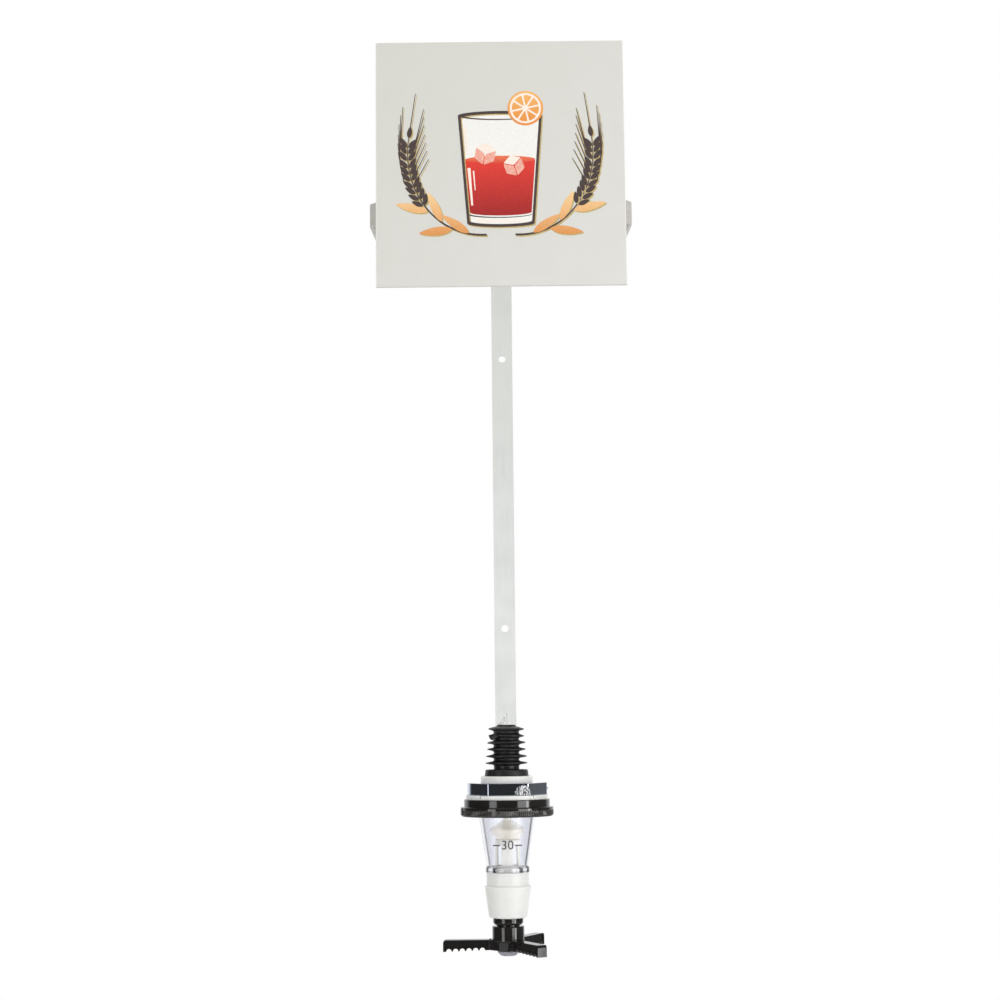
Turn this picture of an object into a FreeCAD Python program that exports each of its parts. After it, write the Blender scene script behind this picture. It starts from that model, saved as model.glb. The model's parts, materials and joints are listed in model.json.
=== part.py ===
import FreeCAD, Part
import math
import os

# Spirit measure on a wall bracket: one inverted bottle stands in a hoop and a fork, and a measure
# under it gives one drink each time a glass pushes its head up.
# Millimetres. +X is right, +Y goes into the wall, +Z is up. The origin lies on the wall face,
# midway between the two screw holes.

V = FreeCAD.Vector
UP = V(0, 0, 1)

# --- wall bracket ---
bar_width = 16.0
strip_thick = 3.0
strip_top = 195.0
strip_bend_radius = 3.0
screw_hole_radius = 2.75
screw_spacing = 210.0
hoop_thick = 2.0
hoop_low = 171.5
hoop_half_width = 92.8
hoop_back_half_width = 86.0
hoop_front = -159.0
hoop_corner_cut = 13.0
hoop_bend_radius = 6.0
hoop_end_gap = 1.0
rivet_radius = 2.0
hoop_rivet_offset = 4.5
hoop_rivet_head = (3.5, 1.4)
fork_rivet_head = (3.6, 1.5)
sign_width = 174.5
sign_height = 176.5
sign_thick = 3.0
sign_top = 300.0
tape_thick = 1.0
tape_length = 70.0
tape_height = 14.0
tape_offset = 45.0

# --- where the measure stands ---
axis_y = -85.0
plate_top = -227.8
plate_thick = 2.0
plate_radius = 29.0
slot_clearance = 0.2
slot_tip_rounding = 0.6
key_step = 0.1
tongue_width = 22.0
tongue_end = -25.0
foot_end = -53.0
fork_rivet_places = (-32.0, -46.0)

# --- body, nut and cork ---
shank_radius = 18.5
shank_top = -214.6
flange_bottom = -235.2
throat_radius = 7.0
throat_top = -219.2
nozzle_radius = 9.5
stem_tube_radius = 5.2
stem_tube_bore = 4.1
stem_rim_radius = 6.0
stem_rim_height = 1.6
cork_core_radius = 9.1
cork_base_radius = 15.7
cork_base_height = 4.6
cork_top = -178.5
cork_lip_radius = 6.6
cork_rib_radii = (12.7, 12.7, 13.6, 13.7, 14.5, 14.85)
cork_first_rib = -181.4
cork_rib_pitch = 4.8
breather_radius = 2.3
breather_bore = 1.8
breather_offset = -1.4
breather_top = -170.3
breather_bottom = -223.2
breather_cut = 5.0
nut_flats = 50.0
nut_height = 8.4
nut_turn = 2.0

# --- collar and chamber ---
collar_top = -230.7
collar_radius = 30.55
knurl_top = -236.1
knurl_radius = 33.05
collar_bottom = -242.7
lug_count = 6
lug_first_angle = -105.0
lug_width = 3.2
lug_height = 0.45
gasket_thick = 1.5
chamber_rim_radius = 28.5
chamber_rim_thick = 3.3
chamber_top_radius = 20.1
chamber_low_radius = 14.7
chamber_top_bore = 17.4
chamber_low_bore = 12.2
chamber_foot_radius = 15.4
chamber_foot_top = -277.9
chamber_floor = -278.3
chamber_bottom = -281.8

# --- valve and plunger ---
travel = 5.4
seat_gap = 0.3
stem_radius = 2.75
stem_top = -231.8
umbrella_top = -245.5
umbrella_radius = 12.25
umbrella_slope = 5.6
umbrella_lip = 2.4
umbrella_wall = 1.5
guide_radius = 8.7
guide_bore = 7.3
guide_top = -259.0
guide_bottom = -285.2
guide_slots = 4
guide_slot_width = 5.0
web_bottom = -289.2
port_radius = 4.5
seal_thick = 1.4
disc_thick = 1.6
disc_radius = 6.0
spigot_top_radius = 14.95
spigot_step_radius = 16.35
spigot_low_radius = 13.35
spigot_step = -290.9
spigot_bottom = -313.4
tube_radius = 10.7
slide_clearance = 0.05
tube_bore = 8.95
tube_top = -296.6
tube_bottom = -318.0
tube_neck_radius = 8.3
spider_top = -305.0
spider_thick = 3.0
spring_radius = 7.4
spring_wire = 1.0
spring_turns = 5.0
stem_nut_flats = 7.0
stem_nut_thick = 2.6

# --- push head and spout ---
tail_radius = 6.0
tail_bottom = -336.4
spout_bore = 4.25
hub_radius = 11.3
hub_top = -319.1
hub_bottom = -329.1
boss_top_radius = 8.8
boss_low_radius = 7.8
boss_bottom = -336.2
arm_count = 3
arm_length = 46.0
arm_width = 7.2
arm_top = -328.3
arm_root_depth = 7.1
arm_end_depth = 8.1
block_width = 8.8
block_length = 13.8
tooth_count = 7
tooth_pitch = 4.7
tooth_flat = 0.9
first_tooth = 16.0
panel_depth = 0.7
panel_rim = 1.0
spout_rim_radius = 7.6
spout_low_radius = 5.3
spout_bottom = -339.6
insert_radius = 5.0
insert_depth = 5.3


def outline_wire(corners, place):
    """Closed wire through (u, v) corners; a third number in a corner is the radius that rounds it."""
    joints = []
    for i, corner in enumerate(corners):
        here = V(corner[0], corner[1], 0)
        if len(corner) < 3:
            joints.append((here, None, here))
            continue
        before = corners[i - 1]
        after = corners[(i + 1) % len(corners)]
        to_before = (V(before[0], before[1], 0) - here).normalize()
        to_after = (V(after[0], after[1], 0) - here).normalize()
        half_angle = to_before.getAngle(to_after) / 2
        reach = corner[2] / math.tan(half_angle)
        bisector = (to_before + to_after).normalize()
        middle = here + bisector * (corner[2] / math.sin(half_angle) - corner[2])
        joints.append((here + to_before * reach, middle, here + to_after * reach))
    edges = []
    for i, (start, middle, end) in enumerate(joints):
        if middle is not None:
            edges.append(Part.Arc(place(start), place(middle), place(end)).toShape())
        following = joints[(i + 1) % len(joints)][0]
        if (following - end).Length > 1e-6:
            edges.append(Part.makeLine(place(end), place(following)))
    return Part.Wire(edges)


def turned(corners):
    """Solid turned about the measure's axis from an outline of (radius, height) corners."""
    wire = outline_wire(corners, lambda p: V(p.x, axis_y, p.y))
    return Part.Face(wire).revolve(V(0, axis_y, 0), UP, 360)


def plan_plate(corners, low, thick):
    """Plate of a given thickness from an outline seen from above."""
    wire = outline_wire(corners, lambda p: V(p.x, p.y, low))
    return Part.Face(wire).extrude(UP * thick)


def rod(radius, low, high, x=0.0, y=axis_y):
    """Upright cylinder."""
    return Part.makeCylinder(radius, high - low, V(x, y, low))


def around(shape, count, first=0.0):
    """Copies of a shape at equal angles about the measure's axis."""
    return [shape.rotated(V(0, axis_y, 0), UP, first + 360.0 / count * i) for i in range(count)]


def fused(shapes):
    """One solid from shapes that share volume or faces."""
    return shapes[0].fuse(shapes[1:]).removeSplitter()


def rivet(direction, start, grip, head_radius, head_height):
    """Domed rivet: its shank starts at start and runs for grip along direction, with a head at each end."""
    dome_radius = (head_radius ** 2 + head_height ** 2) / (2 * head_height)
    shank = Part.makeCylinder(rivet_radius, grip, start, direction)
    heads = []
    for seat, outward in ((start, direction * -1), (start + direction * grip, direction)):
        ball = Part.makeSphere(dome_radius, seat + outward * (head_height - dome_radius))
        keep = Part.makeCylinder(head_radius, head_height, seat, outward)
        heads.append(ball.common(keep))
    return fused([shank] + heads)


# --- bracket ---

strip_face = -strip_thick
hoop_back = strip_face - hoop_thick
foot_low = plate_top
foot_high = foot_low + strip_thick
drill_depth = strip_thick + hoop_thick + 2


def wall_strip():
    """Flat bar down the wall whose lower end bends forward into a foot."""
    side = [
        (0, strip_top),
        (strip_face, strip_top),
        (strip_face, foot_high, strip_bend_radius),
        (foot_end, foot_high),
        (foot_end, foot_low),
        (0, foot_low, strip_bend_radius + strip_thick),
    ]
    wire = outline_wire(side, lambda p: V(-bar_width / 2, p.x, p.y))
    bar = Part.Face(wire).extrude(V(bar_width, 0, 0))
    top_corners = [e for e in bar.Edges if e.BoundBox.YLength > 2.9 and e.BoundBox.ZMin > strip_top - 0.1]
    bar = bar.makeFillet(3.0, top_corners)
    for height in (-screw_spacing / 2, screw_spacing / 2):
        bar = bar.cut(Part.makeCylinder(screw_hole_radius, drill_depth, V(0, 1, height), V(0, -1, 0)))
    middle = hoop_low + bar_width / 2
    for x in (-hoop_rivet_offset, hoop_rivet_offset):
        bar = bar.cut(Part.makeCylinder(rivet_radius, drill_depth, V(x, 1, middle), V(0, -1, 0)))
    for y in fork_rivet_places:
        bar = bar.cut(rod(rivet_radius, foot_low - 1, foot_high + 1, y=y))
    return bar


def bottle_hoop():
    """Flat bar bent into a loop round the bottle; its ends meet on the strip."""
    def loop(inset):
        front = hoop_front + inset
        back = strip_face - inset
        side = hoop_half_width - inset
        back_side = hoop_back_half_width - inset
        cut = hoop_corner_cut - inset * (2 - math.sqrt(2))
        bend = hoop_bend_radius - inset
        return [
            (-back_side, back, bend),
            (-side, front + cut, bend),
            (-side + cut, front, bend),
            (side - cut, front, bend),
            (side, front + cut, bend),
            (back_side, back, bend),
        ]

    outer = plan_plate(loop(0), hoop_low, bar_width)
    inner = plan_plate(loop(hoop_thick), hoop_low, bar_width)
    gap_corner = V(-hoop_end_gap / 2, hoop_back - hoop_thick, hoop_low)
    gap = Part.makeBox(hoop_end_gap, 4 * hoop_thick, bar_width, gap_corner)
    band = outer.cut(inner).cut(gap)
    middle = hoop_low + bar_width / 2
    for x in (-hoop_rivet_offset, hoop_rivet_offset):
        band = band.cut(Part.makeCylinder(rivet_radius, drill_depth, V(x, 1, middle), V(0, -1, 0)))
    return band


def hoop_rivets():
    """Two rivets through hoop and strip, flush against the wall."""
    middle = hoop_low + bar_width / 2
    pair = []
    for x in (-hoop_rivet_offset, hoop_rivet_offset):
        whole = rivet(V(0, -1, 0), V(x, 0, middle), -hoop_back, *hoop_rivet_head)
        wall_side = Part.makeBox(20, 5, 20, V(x - 10, 0, middle - 10))
        pair.append(whole.cut(wall_side))
    return Part.makeCompound(pair)


def sign_panel():
    """Nearly square panel with slightly broken front edges."""
    front = hoop_front - tape_thick - sign_thick
    corner = V(-sign_width / 2, front, sign_top - sign_height)
    panel = Part.makeBox(sign_width, sign_thick, sign_height, corner)
    front_face = [f for f in panel.Faces if f.BoundBox.YMax < front + 0.1]
    return panel.makeChamfer(0.4, front_face[0].Edges)


def sign_tape_pads():
    """Two foam tape pads between the hoop and the sign."""
    low = hoop_low + (bar_width - tape_height) / 2
    corner = V(-tape_length / 2, hoop_front - tape_thick, low)
    pads = [
        Part.makeBox(tape_length, tape_thick, tape_height, corner + V(x, 0, 0))
        for x in (-tape_offset, tape_offset)
    ]
    return Part.makeCompound(pads)


def optic_fork():
    """Round plate, slotted from the front for the body's shank, with a tongue riveted to the strip's foot."""
    low = plate_top - plate_thick
    plate = rod(plate_radius, low, plate_top)
    half = tongue_width / 2
    inside = axis_y + plate_radius / 2
    tongue_outline = [(-half, inside), (half, inside), (half, tongue_end, 4), (-half, tongue_end, 4)]
    tongue = plan_plate(tongue_outline, low, plate_thick)
    slot_half = shank_radius + slot_clearance
    slot_end = rod(slot_half, low, plate_top)
    slot_corner = V(-slot_half, axis_y - 2 * plate_radius, low)
    slot = Part.makeBox(2 * slot_half, 2 * plate_radius, plate_thick, slot_corner)
    fork = plate.fuse(tongue).removeSplitter().cut(slot_end.fuse(slot))
    upright = [e for e in fork.Edges if e.BoundBox.ZLength > plate_thick - 0.1 and e.BoundBox.XLength < 0.1]
    tips = [e for e in upright if e.BoundBox.YMax < axis_y - 1]
    fork = fork.makeFillet(slot_tip_rounding, tips)
    for y in fork_rivet_places:
        fork = fork.cut(rod(rivet_radius, low - 1, plate_top + 1, y=y))
    return fork


def fork_rivets():
    """Two rivets through the strip's foot and the fork."""
    grip = foot_high - (plate_top - plate_thick)
    start = plate_top - plate_thick
    return Part.makeCompound([rivet(UP, V(0, y, start), grip, *fork_rivet_head) for y in fork_rivet_places])


# --- body, nut, cork ---

flange_top = plate_top - plate_thick
gasket_bottom = flange_bottom - gasket_thick
inlet_slope = umbrella_slope / (umbrella_radius - stem_radius)
seat_height = umbrella_top - (throat_radius - stem_radius) * inlet_slope + travel + seat_gap


def fork_key():
    """Block on the flange that fills the fork's slot, so that the body can't turn in it."""
    key_top = plate_top - key_step
    corner = V(-shank_radius, axis_y - plate_radius, flange_top)
    block = Part.makeBox(2 * shank_radius, plate_radius, key_top - flange_top, corner)
    key = block.common(rod(plate_radius, flange_top, key_top))
    return key.cut(rod(throat_radius, flange_top, key_top))


def head_body():
    """White body: cork stem, ribbed shank, keyed flange and inlet nozzle, with a spider for the breather."""
    rim_top = cork_top + stem_rim_height
    body = turned([
        (stem_tube_bore, rim_top),
        (stem_rim_radius, rim_top, 0.4),
        (stem_rim_radius, cork_top),
        (stem_tube_radius, cork_top),
        (stem_tube_radius, shank_top),
        (shank_radius - 0.7, shank_top),
        (shank_radius, shank_top - 0.7),
        (shank_radius, flange_top),
        (plate_radius, flange_top),
        (plate_radius, flange_bottom),
        (nozzle_radius, flange_bottom),
        (nozzle_radius, seat_height, 1.0),
        (throat_radius, seat_height),
        (throat_radius, throat_top),
        (stem_tube_bore, throat_top + 3),
    ])
    body = fused([body, fork_key()])
    pocket_low = flange_bottom + 3.4
    pocket = rod(cork_base_radius - 0.5, pocket_low, shank_top)
    pocket = pocket.cut(rod(nozzle_radius - 0.8, pocket_low, shank_top))
    stiffener = Part.makeBox(shank_radius, 1.6, shank_top - pocket_low, V(0, axis_y - 0.8, pocket_low))
    for rib in around(stiffener, 6):
        pocket = pocket.cut(rib)
    body = body.cut(pocket)
    web_high = throat_top - 0.5
    web_low = web_high - 3.5
    hub = rod(breather_radius + 1.1, web_low, web_high, x=breather_offset)
    rib_reach = throat_radius + 1
    rib = Part.makeBox(rib_reach, 1.2, web_high - web_low, V(0, axis_y - 0.6, web_low))
    throat = rod(throat_radius, web_low, web_high)
    spider = fused([hub] + around(rib, 3, 60)).common(throat)
    seat = rod(breather_radius, web_low, web_high, x=breather_offset)
    return fused([body, spider.cut(seat)])


def breather_tube():
    """Clear tube from the body's spider up past the cork; its top is cut slanting, lowest on the left."""
    tube = rod(breather_radius, breather_bottom, breather_top, x=breather_offset)
    tube = tube.cut(rod(breather_bore, breather_bottom, breather_top, x=breather_offset))
    left = breather_offset - breather_radius
    right = breather_offset + breather_radius
    waste = Part.makePolygon([
        V(left, axis_y - breather_radius, breather_top - breather_cut),
        V(right, axis_y - breather_radius, breather_top),
        V(left, axis_y - breather_radius, breather_top),
        V(left, axis_y - breather_radius, breather_top - breather_cut),
    ])
    return tube.cut(Part.Face(waste).extrude(V(0, 2 * breather_radius, 0)))


def bottle_cork():
    """Rubber cork with thin ribs that bend against the inside of a bottle's neck."""
    root = 1.4
    tip = 0.45
    base_top = shank_top + cork_base_height
    last_rib = cork_first_rib - (len(cork_rib_radii) - 1) * cork_rib_pitch
    corners = [(stem_tube_radius, cork_top), (cork_lip_radius, cork_top)]
    corners.append((cork_lip_radius + 0.4, cork_first_rib + root + 0.6))
    for i, radius in enumerate(cork_rib_radii):
        height = cork_first_rib - i * cork_rib_pitch
        if i > 0:
            corners.append((cork_core_radius, height + root))
        corners.append((radius, height + tip))
        corners.append((radius, height - tip))
        corners.append((cork_core_radius, height - root))
    corners.append((cork_core_radius, (base_top + last_rib - root) / 2 - 0.8))
    corners.append((cork_base_radius - 0.5, base_top, 0.8))
    corners.append((cork_base_radius, shank_top))
    corners.append((stem_tube_radius, shank_top))
    return turned(corners)


def hexagon_prism(flats, low, height, turn=0.0):
    """Upright hexagonal prism on the measure's axis; turn is the angle of its first corner."""
    corner_radius = flats / 2 / math.cos(math.pi / 6)
    first = V(corner_radius, axis_y, low)
    corners = [Part.Vertex(first).rotated(V(0, axis_y, 0), UP, turn + 60 * i).Point for i in range(7)]
    return Part.Face(Part.makePolygon(corners)).extrude(UP * height)


def hex_nut():
    """Large hexagon nut, chamfered above and below, with its moulding's small gate mark at one corner."""
    low = plate_top
    corner_radius = nut_flats / 2 / math.cos(math.pi / 6)
    prism = hexagon_prism(nut_flats, low, nut_height, nut_turn)
    chamfer = 0.7
    cone = turned([
        (0, low),
        (corner_radius - chamfer, low),
        (corner_radius + 0.01, low + chamfer * 0.6),
        (corner_radius + 0.01, low + nut_height - chamfer * 0.6),
        (corner_radius - chamfer, low + nut_height),
        (0, low + nut_height),
    ])
    gate_angle = math.radians(nut_turn)
    outward = V(math.cos(gate_angle), math.sin(gate_angle), 0)
    gate_start = V(0, axis_y, low + nut_height / 2) + outward * (corner_radius - 1.5)
    gate = Part.makeCylinder(0.8, 2.1, gate_start, outward)
    nut = prism.common(cone).fuse(gate)
    return nut.cut(rod(shank_radius, low, low + nut_height)).removeSplitter()


# --- collar, chamber, guide ---

rim_bottom = gasket_bottom - chamber_rim_thick


def lock_collar():
    """Screw collar that clamps the chamber's rim to the body, with a flange to grip."""
    thread_radius = plate_radius
    lip_radius = chamber_top_radius + 0.7
    ring = turned([
        (thread_radius, collar_top),
        (collar_radius, collar_top, 0.6),
        (collar_radius, knurl_top),
        (knurl_radius - 0.5, knurl_top),
        (knurl_radius, knurl_top - 0.5),
        (knurl_radius, collar_bottom + 1.2),
        (knurl_radius - 0.9, collar_bottom),
        (lip_radius, collar_bottom),
        (lip_radius, rim_bottom),
        (thread_radius, rim_bottom),
    ])
    lug_low = collar_bottom + 0.9
    lug_high = knurl_top - 0.6
    lug_depth = 3.0
    lug_corner = V(knurl_radius + lug_height - lug_depth, axis_y - lug_width / 2, lug_low)
    lug = Part.makeBox(lug_depth, lug_width, lug_high - lug_low, lug_corner)
    upright = [e for e in lug.Edges if e.BoundBox.ZLength > 1 and e.BoundBox.XMin > knurl_radius]
    lug = lug.makeChamfer(0.4, upright)
    return fused([ring] + around(lug, lug_count, lug_first_angle))


def chamber_gasket():
    """Flat ring between the chamber's rim and the body."""
    return turned([
        (chamber_top_radius, gasket_bottom),
        (chamber_rim_radius, gasket_bottom),
        (chamber_rim_radius, flange_bottom),
        (chamber_top_radius, flange_bottom),
    ])


def measure_chamber():
    """Thick clear cone that holds one measure, with a clamping rim and a small foot."""
    wall_slope = (chamber_top_radius - chamber_low_radius) / (collar_bottom - chamber_foot_top)
    bore_slope = (chamber_top_bore - chamber_low_bore) / (collar_bottom - chamber_floor)
    radius_at_rim = chamber_top_radius + (rim_bottom - collar_bottom) * wall_slope
    bore_at_top = chamber_top_bore + (gasket_bottom - collar_bottom) * bore_slope
    return turned([
        (bore_at_top, gasket_bottom),
        (chamber_rim_radius, gasket_bottom),
        (chamber_rim_radius, rim_bottom),
        (radius_at_rim, rim_bottom),
        (chamber_low_radius, chamber_foot_top),
        (chamber_foot_radius, chamber_foot_top - 0.6),
        (chamber_foot_radius, chamber_bottom),
        (guide_radius, chamber_bottom),
        (guide_radius, chamber_floor),
        (chamber_low_bore, chamber_floor, 0.8),
    ])


def valve_guide():
    """Slotted tube that screws through the chamber's floor into the spigot and guides the valve."""
    flange_radius = 10.5
    flange_thick = 1.2
    tube = turned([
        (guide_bore, guide_top),
        (guide_radius, guide_top),
        (guide_radius, chamber_floor + flange_thick),
        (flange_radius, chamber_floor + flange_thick),
        (flange_radius, chamber_floor),
        (guide_radius, chamber_floor),
        (guide_radius, guide_bottom),
        (guide_bore, guide_bottom),
    ])
    slot_low = chamber_floor + flange_thick
    slot_high = guide_top - 3.6
    slot_corner = V(0, axis_y - guide_slot_width / 2, slot_low)
    slot = Part.makeBox(2 * guide_radius, guide_slot_width, slot_high - slot_low, slot_corner)
    for cutter in around(slot, guide_slots, 45):
        tube = tube.cut(cutter)
    return tube


seal_depth = 0.8


def foot_seal():
    """Flat ring in a recess of the spigot, under the chamber's foot."""
    return turned([
        (guide_radius, chamber_bottom - seal_depth),
        (guide_radius + 3.2, chamber_bottom - seal_depth),
        (guide_radius + 3.2, chamber_bottom),
        (guide_radius, chamber_bottom),
    ])


def spigot_body():
    """White spigot: socket for the guide, web with the outlet port, and the plunger's bore."""
    slide_radius = tube_radius + slide_clearance
    return turned([
        (guide_radius + 3.2, chamber_bottom),
        (spigot_top_radius, chamber_bottom),
        (spigot_top_radius, spigot_step),
        (spigot_step_radius, spigot_step - 0.7),
        (spigot_low_radius, spigot_bottom, 1.6),
        (slide_radius + 0.6, spigot_bottom),
        (slide_radius, spigot_bottom + 0.8),
        (slide_radius, web_bottom),
        (port_radius, web_bottom),
        (port_radius, guide_bottom),
        (guide_radius, guide_bottom),
        (guide_radius, chamber_bottom - seal_depth),
        (guide_radius + 3.2, chamber_bottom - seal_depth),
    ])


# --- plunger ---

seal_top = guide_bottom + seal_thick
disc_top = seal_top + disc_thick
spider_bottom = spider_top - spider_thick
screw_radius = 2.0


def valve_stem():
    """Rod that carries the umbrella above and the lower valve's disc below."""
    bead_height = guide_top + 4.2
    return turned([
        (0, stem_top),
        (stem_radius, stem_top, 1.0),
        (stem_radius, bead_height + 1.4),
        (stem_radius + 0.7, bead_height + 0.9),
        (stem_radius + 0.7, bead_height),
        (stem_radius, bead_height),
        (stem_radius, disc_top),
        (disc_radius, disc_top),
        (disc_radius, seal_top),
        (stem_radius, seal_top),
        (stem_radius, spider_top),
        (screw_radius, spider_top),
        (screw_radius, spider_bottom - 3.6),
        (0, spider_bottom - 3.6),
    ])


def umbrella_valve():
    """Soft umbrella: its cone shuts the inlet nozzle when the plunger is up."""
    lip_top = umbrella_top - umbrella_slope
    lip_bottom = lip_top - umbrella_lip
    skirt_bottom = guide_top + 0.4
    hub_radius_inside = stem_radius + 1.6
    hub_end = guide_top + 5.6
    return turned([
        (stem_radius, umbrella_top),
        (stem_radius + 0.7, umbrella_top),
        (umbrella_radius, lip_top),
        (umbrella_radius, lip_bottom),
        (guide_radius, skirt_bottom + 0.6),
        (guide_radius, skirt_bottom),
        (guide_radius - umbrella_wall, skirt_bottom),
        (guide_radius - umbrella_wall, skirt_bottom + 1.0),
        (umbrella_radius - umbrella_wall, lip_bottom + 0.4),
        (umbrella_radius - umbrella_wall, lip_top - 0.6),
        (hub_radius_inside, umbrella_top - 2.8),
        (hub_radius_inside, hub_end),
        (stem_radius, hub_end),
    ])


def lower_seal():
    """Rubber washer under the stem's disc."""
    return turned([
        (stem_radius, guide_bottom),
        (disc_radius + 0.6, guide_bottom),
        (disc_radius + 0.6, seal_top),
        (stem_radius, seal_top),
    ])


def outlet_tube():
    """Black tube that slides in the spigot; a spider holds the stem and its tail carries the push head."""
    insert_top = tail_bottom + insert_depth
    shell = turned([
        (tube_bore, tube_top),
        (tube_radius, tube_top),
        (tube_radius, tube_bottom + 1.1),
        (tube_radius - 1.1, tube_bottom),
        (tube_neck_radius, tube_bottom),
        (tube_neck_radius, hub_top + 0.2),
        (tail_radius, hub_top + 0.2),
        (tail_radius, tail_bottom),
        (insert_radius, tail_bottom),
        (insert_radius, insert_top),
        (spout_bore, insert_top),
        (spout_bore, tube_bottom + 2.5),
        (tube_bore, spider_bottom - 4.0),
    ])
    hub = rod(4.6, spider_bottom, spider_top)
    rib = Part.makeBox(tube_bore + 0.5, 1.6, spider_thick, V(0, axis_y - 0.8, spider_bottom))
    spider = fused([hub] + around(rib, 3, 90)).cut(rod(screw_radius, spider_bottom, spider_top))
    return fused([shell, spider])


def stem_nut():
    """Small hexagon nut on the stem's threaded end."""
    low = spider_bottom - stem_nut_thick
    prism = hexagon_prism(stem_nut_flats, low, stem_nut_thick)
    return prism.cut(rod(screw_radius, low, spider_bottom))


def return_spring():
    """Compression spring between the web and the spider: half turns of wire, drawn eight-sided."""
    bottom = spider_top + spring_wire / 2
    half_turns = int(2 * spring_turns)
    rise = (web_bottom - spider_top - spring_wire) / half_turns
    across = V(0, 1, 0)
    wire_corners = [
        V(math.cos(math.radians(angle)), 0, math.sin(math.radians(angle))) * (spring_wire / 2)
        for angle in range(0, 361, 45)
    ]
    coil = []
    for i in range(half_turns):
        side = 1 if i % 2 == 0 else -1
        start = V(side * spring_radius, axis_y, bottom + i * rise)
        chord = V(-2 * side * spring_radius, 0, rise)
        wire_end = Part.Face(Part.makePolygon([start + corner for corner in wire_corners]))
        turn_axis = chord.cross(across) * -1
        coil.append(wire_end.revolve(start + chord / 2, turn_axis, 180 * side))
    return coil[0].fuse(coil[1:])


def spout_nozzle():
    """Grey spout tip: its insert is pressed into the tail, and its rim holds the push head up."""
    insert_top = tail_bottom + insert_depth
    return turned([
        (spout_bore, insert_top),
        (insert_radius, insert_top),
        (insert_radius, tail_bottom),
        (spout_rim_radius, tail_bottom),
        (spout_rim_radius, tail_bottom - 0.8),
        (spout_low_radius, spout_bottom, 1.6),
        (spout_bore, spout_bottom),
    ])


# --- push head ---

def arm_blank():
    """One arm along +X: a bar with teeth scalloped out of its underside and a sunk panel on each side."""
    root_bottom = arm_top - arm_root_depth
    slope = (arm_end_depth - arm_root_depth) / (arm_length - block_length)
    side = [
        (block_length - 2, root_bottom),
        (block_length - 2, arm_top),
        (arm_length, arm_top, 2.0),
        (arm_length, arm_top - arm_end_depth, 0.6),
        (block_length, root_bottom),
    ]
    half = arm_width / 2
    wire = outline_wire(side, lambda p: V(p.x, axis_y - half, p.y))
    arm = Part.Face(wire).extrude(V(0, arm_width, 0))
    scallop_radius = (tooth_pitch - tooth_flat) / 2
    for i in range(tooth_count - 1):
        centre = first_tooth + (i + 0.5) * tooth_pitch
        start = V(centre, axis_y - half, root_bottom - (centre - block_length) * slope)
        scallop = Part.makeCylinder(scallop_radius, arm_width, start, V(0, 1, 0))
        arm = arm.cut(scallop)
    panel_low = root_bottom + scallop_radius + 0.5
    panel_start = block_length + 0.8
    panel_end = arm_length - 1.4 * panel_rim
    panel = [
        (panel_start, panel_low),
        (panel_start, arm_top - panel_rim),
        (panel_end, arm_top - panel_rim, 1.0),
        (panel_end, panel_low - (panel_end - panel_start) * slope),
    ]
    for face_y, into in ((axis_y - half, 1), (axis_y + half, -1)):
        recess = outline_wire(panel, lambda p: V(p.x, face_y, p.y))
        arm = arm.cut(Part.Face(recess).extrude(V(0, into * panel_depth, 0)))
    return arm


def arm_root():
    """Thicker block where an arm leaves the hub, with a gusset that slopes down to the boss."""
    half = block_width / 2
    arm_bottom = arm_top - arm_root_depth
    side = [
        (0, arm_top),
        (block_length, arm_top, 0.5),
        (block_length, arm_bottom + 0.6),
        (block_length - 1.2, arm_bottom),
        (boss_low_radius - 0.4, boss_bottom + 0.3),
        (0, boss_bottom + 0.3),
    ]
    wire = outline_wire(side, lambda p: V(p.x, axis_y - half, p.y))
    return Part.Face(wire).extrude(V(0, block_width, 0))


def push_head():
    """Three-armed head that turns on the outlet tube's tail."""
    bore_radius = tail_radius + slide_clearance
    hub = turned([
        (0, hub_top),
        (hub_radius - 0.5, hub_top),
        (hub_radius, hub_top - 0.5),
        (hub_radius, hub_bottom),
        (boss_top_radius, hub_bottom - 1.2),
        (boss_low_radius, boss_bottom),
        (0, boss_bottom),
    ])
    arm = arm_blank().fuse(arm_root()).removeSplitter()
    head = fused([hub] + around(arm, arm_count, 180))
    return head.cut(rod(bore_radius, boss_bottom - 1, hub_top + 1))


pieces = {
    "wall_strip": wall_strip,
    "optic_fork": optic_fork,
    "fork_rivets": fork_rivets,
    "bottle_hoop": bottle_hoop,
    "hoop_rivets": hoop_rivets,
    "sign_panel": sign_panel,
    "sign_tape_pads": sign_tape_pads,
    "bottle_cork": bottle_cork,
    "breather_tube": breather_tube,
    "head_body": head_body,
    "hex_nut": hex_nut,
    "lock_collar": lock_collar,
    "chamber_gasket": chamber_gasket,
    "measure_chamber": measure_chamber,
    "valve_guide": valve_guide,
    "foot_seal": foot_seal,
    "spigot_body": spigot_body,
    "valve_stem": valve_stem,
    "umbrella_valve": umbrella_valve,
    "lower_seal": lower_seal,
    "outlet_tube": outlet_tube,
    "stem_nut": stem_nut,
    "return_spring": return_spring,
    "spout_nozzle": spout_nozzle,
    "push_head": push_head,
}

os.makedirs("parts", exist_ok=True)
for name, make in pieces.items():
    shape = make()
    print(name, "solids", len(shape.Solids), "valid", shape.isValid(), "volume", round(shape.Volume, 1))
    shape.exportStep("parts/" + name + ".step")
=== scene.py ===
import bpy
import bmesh
import json
import math
from mathutils import Matrix, Vector, geometry, noise

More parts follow.
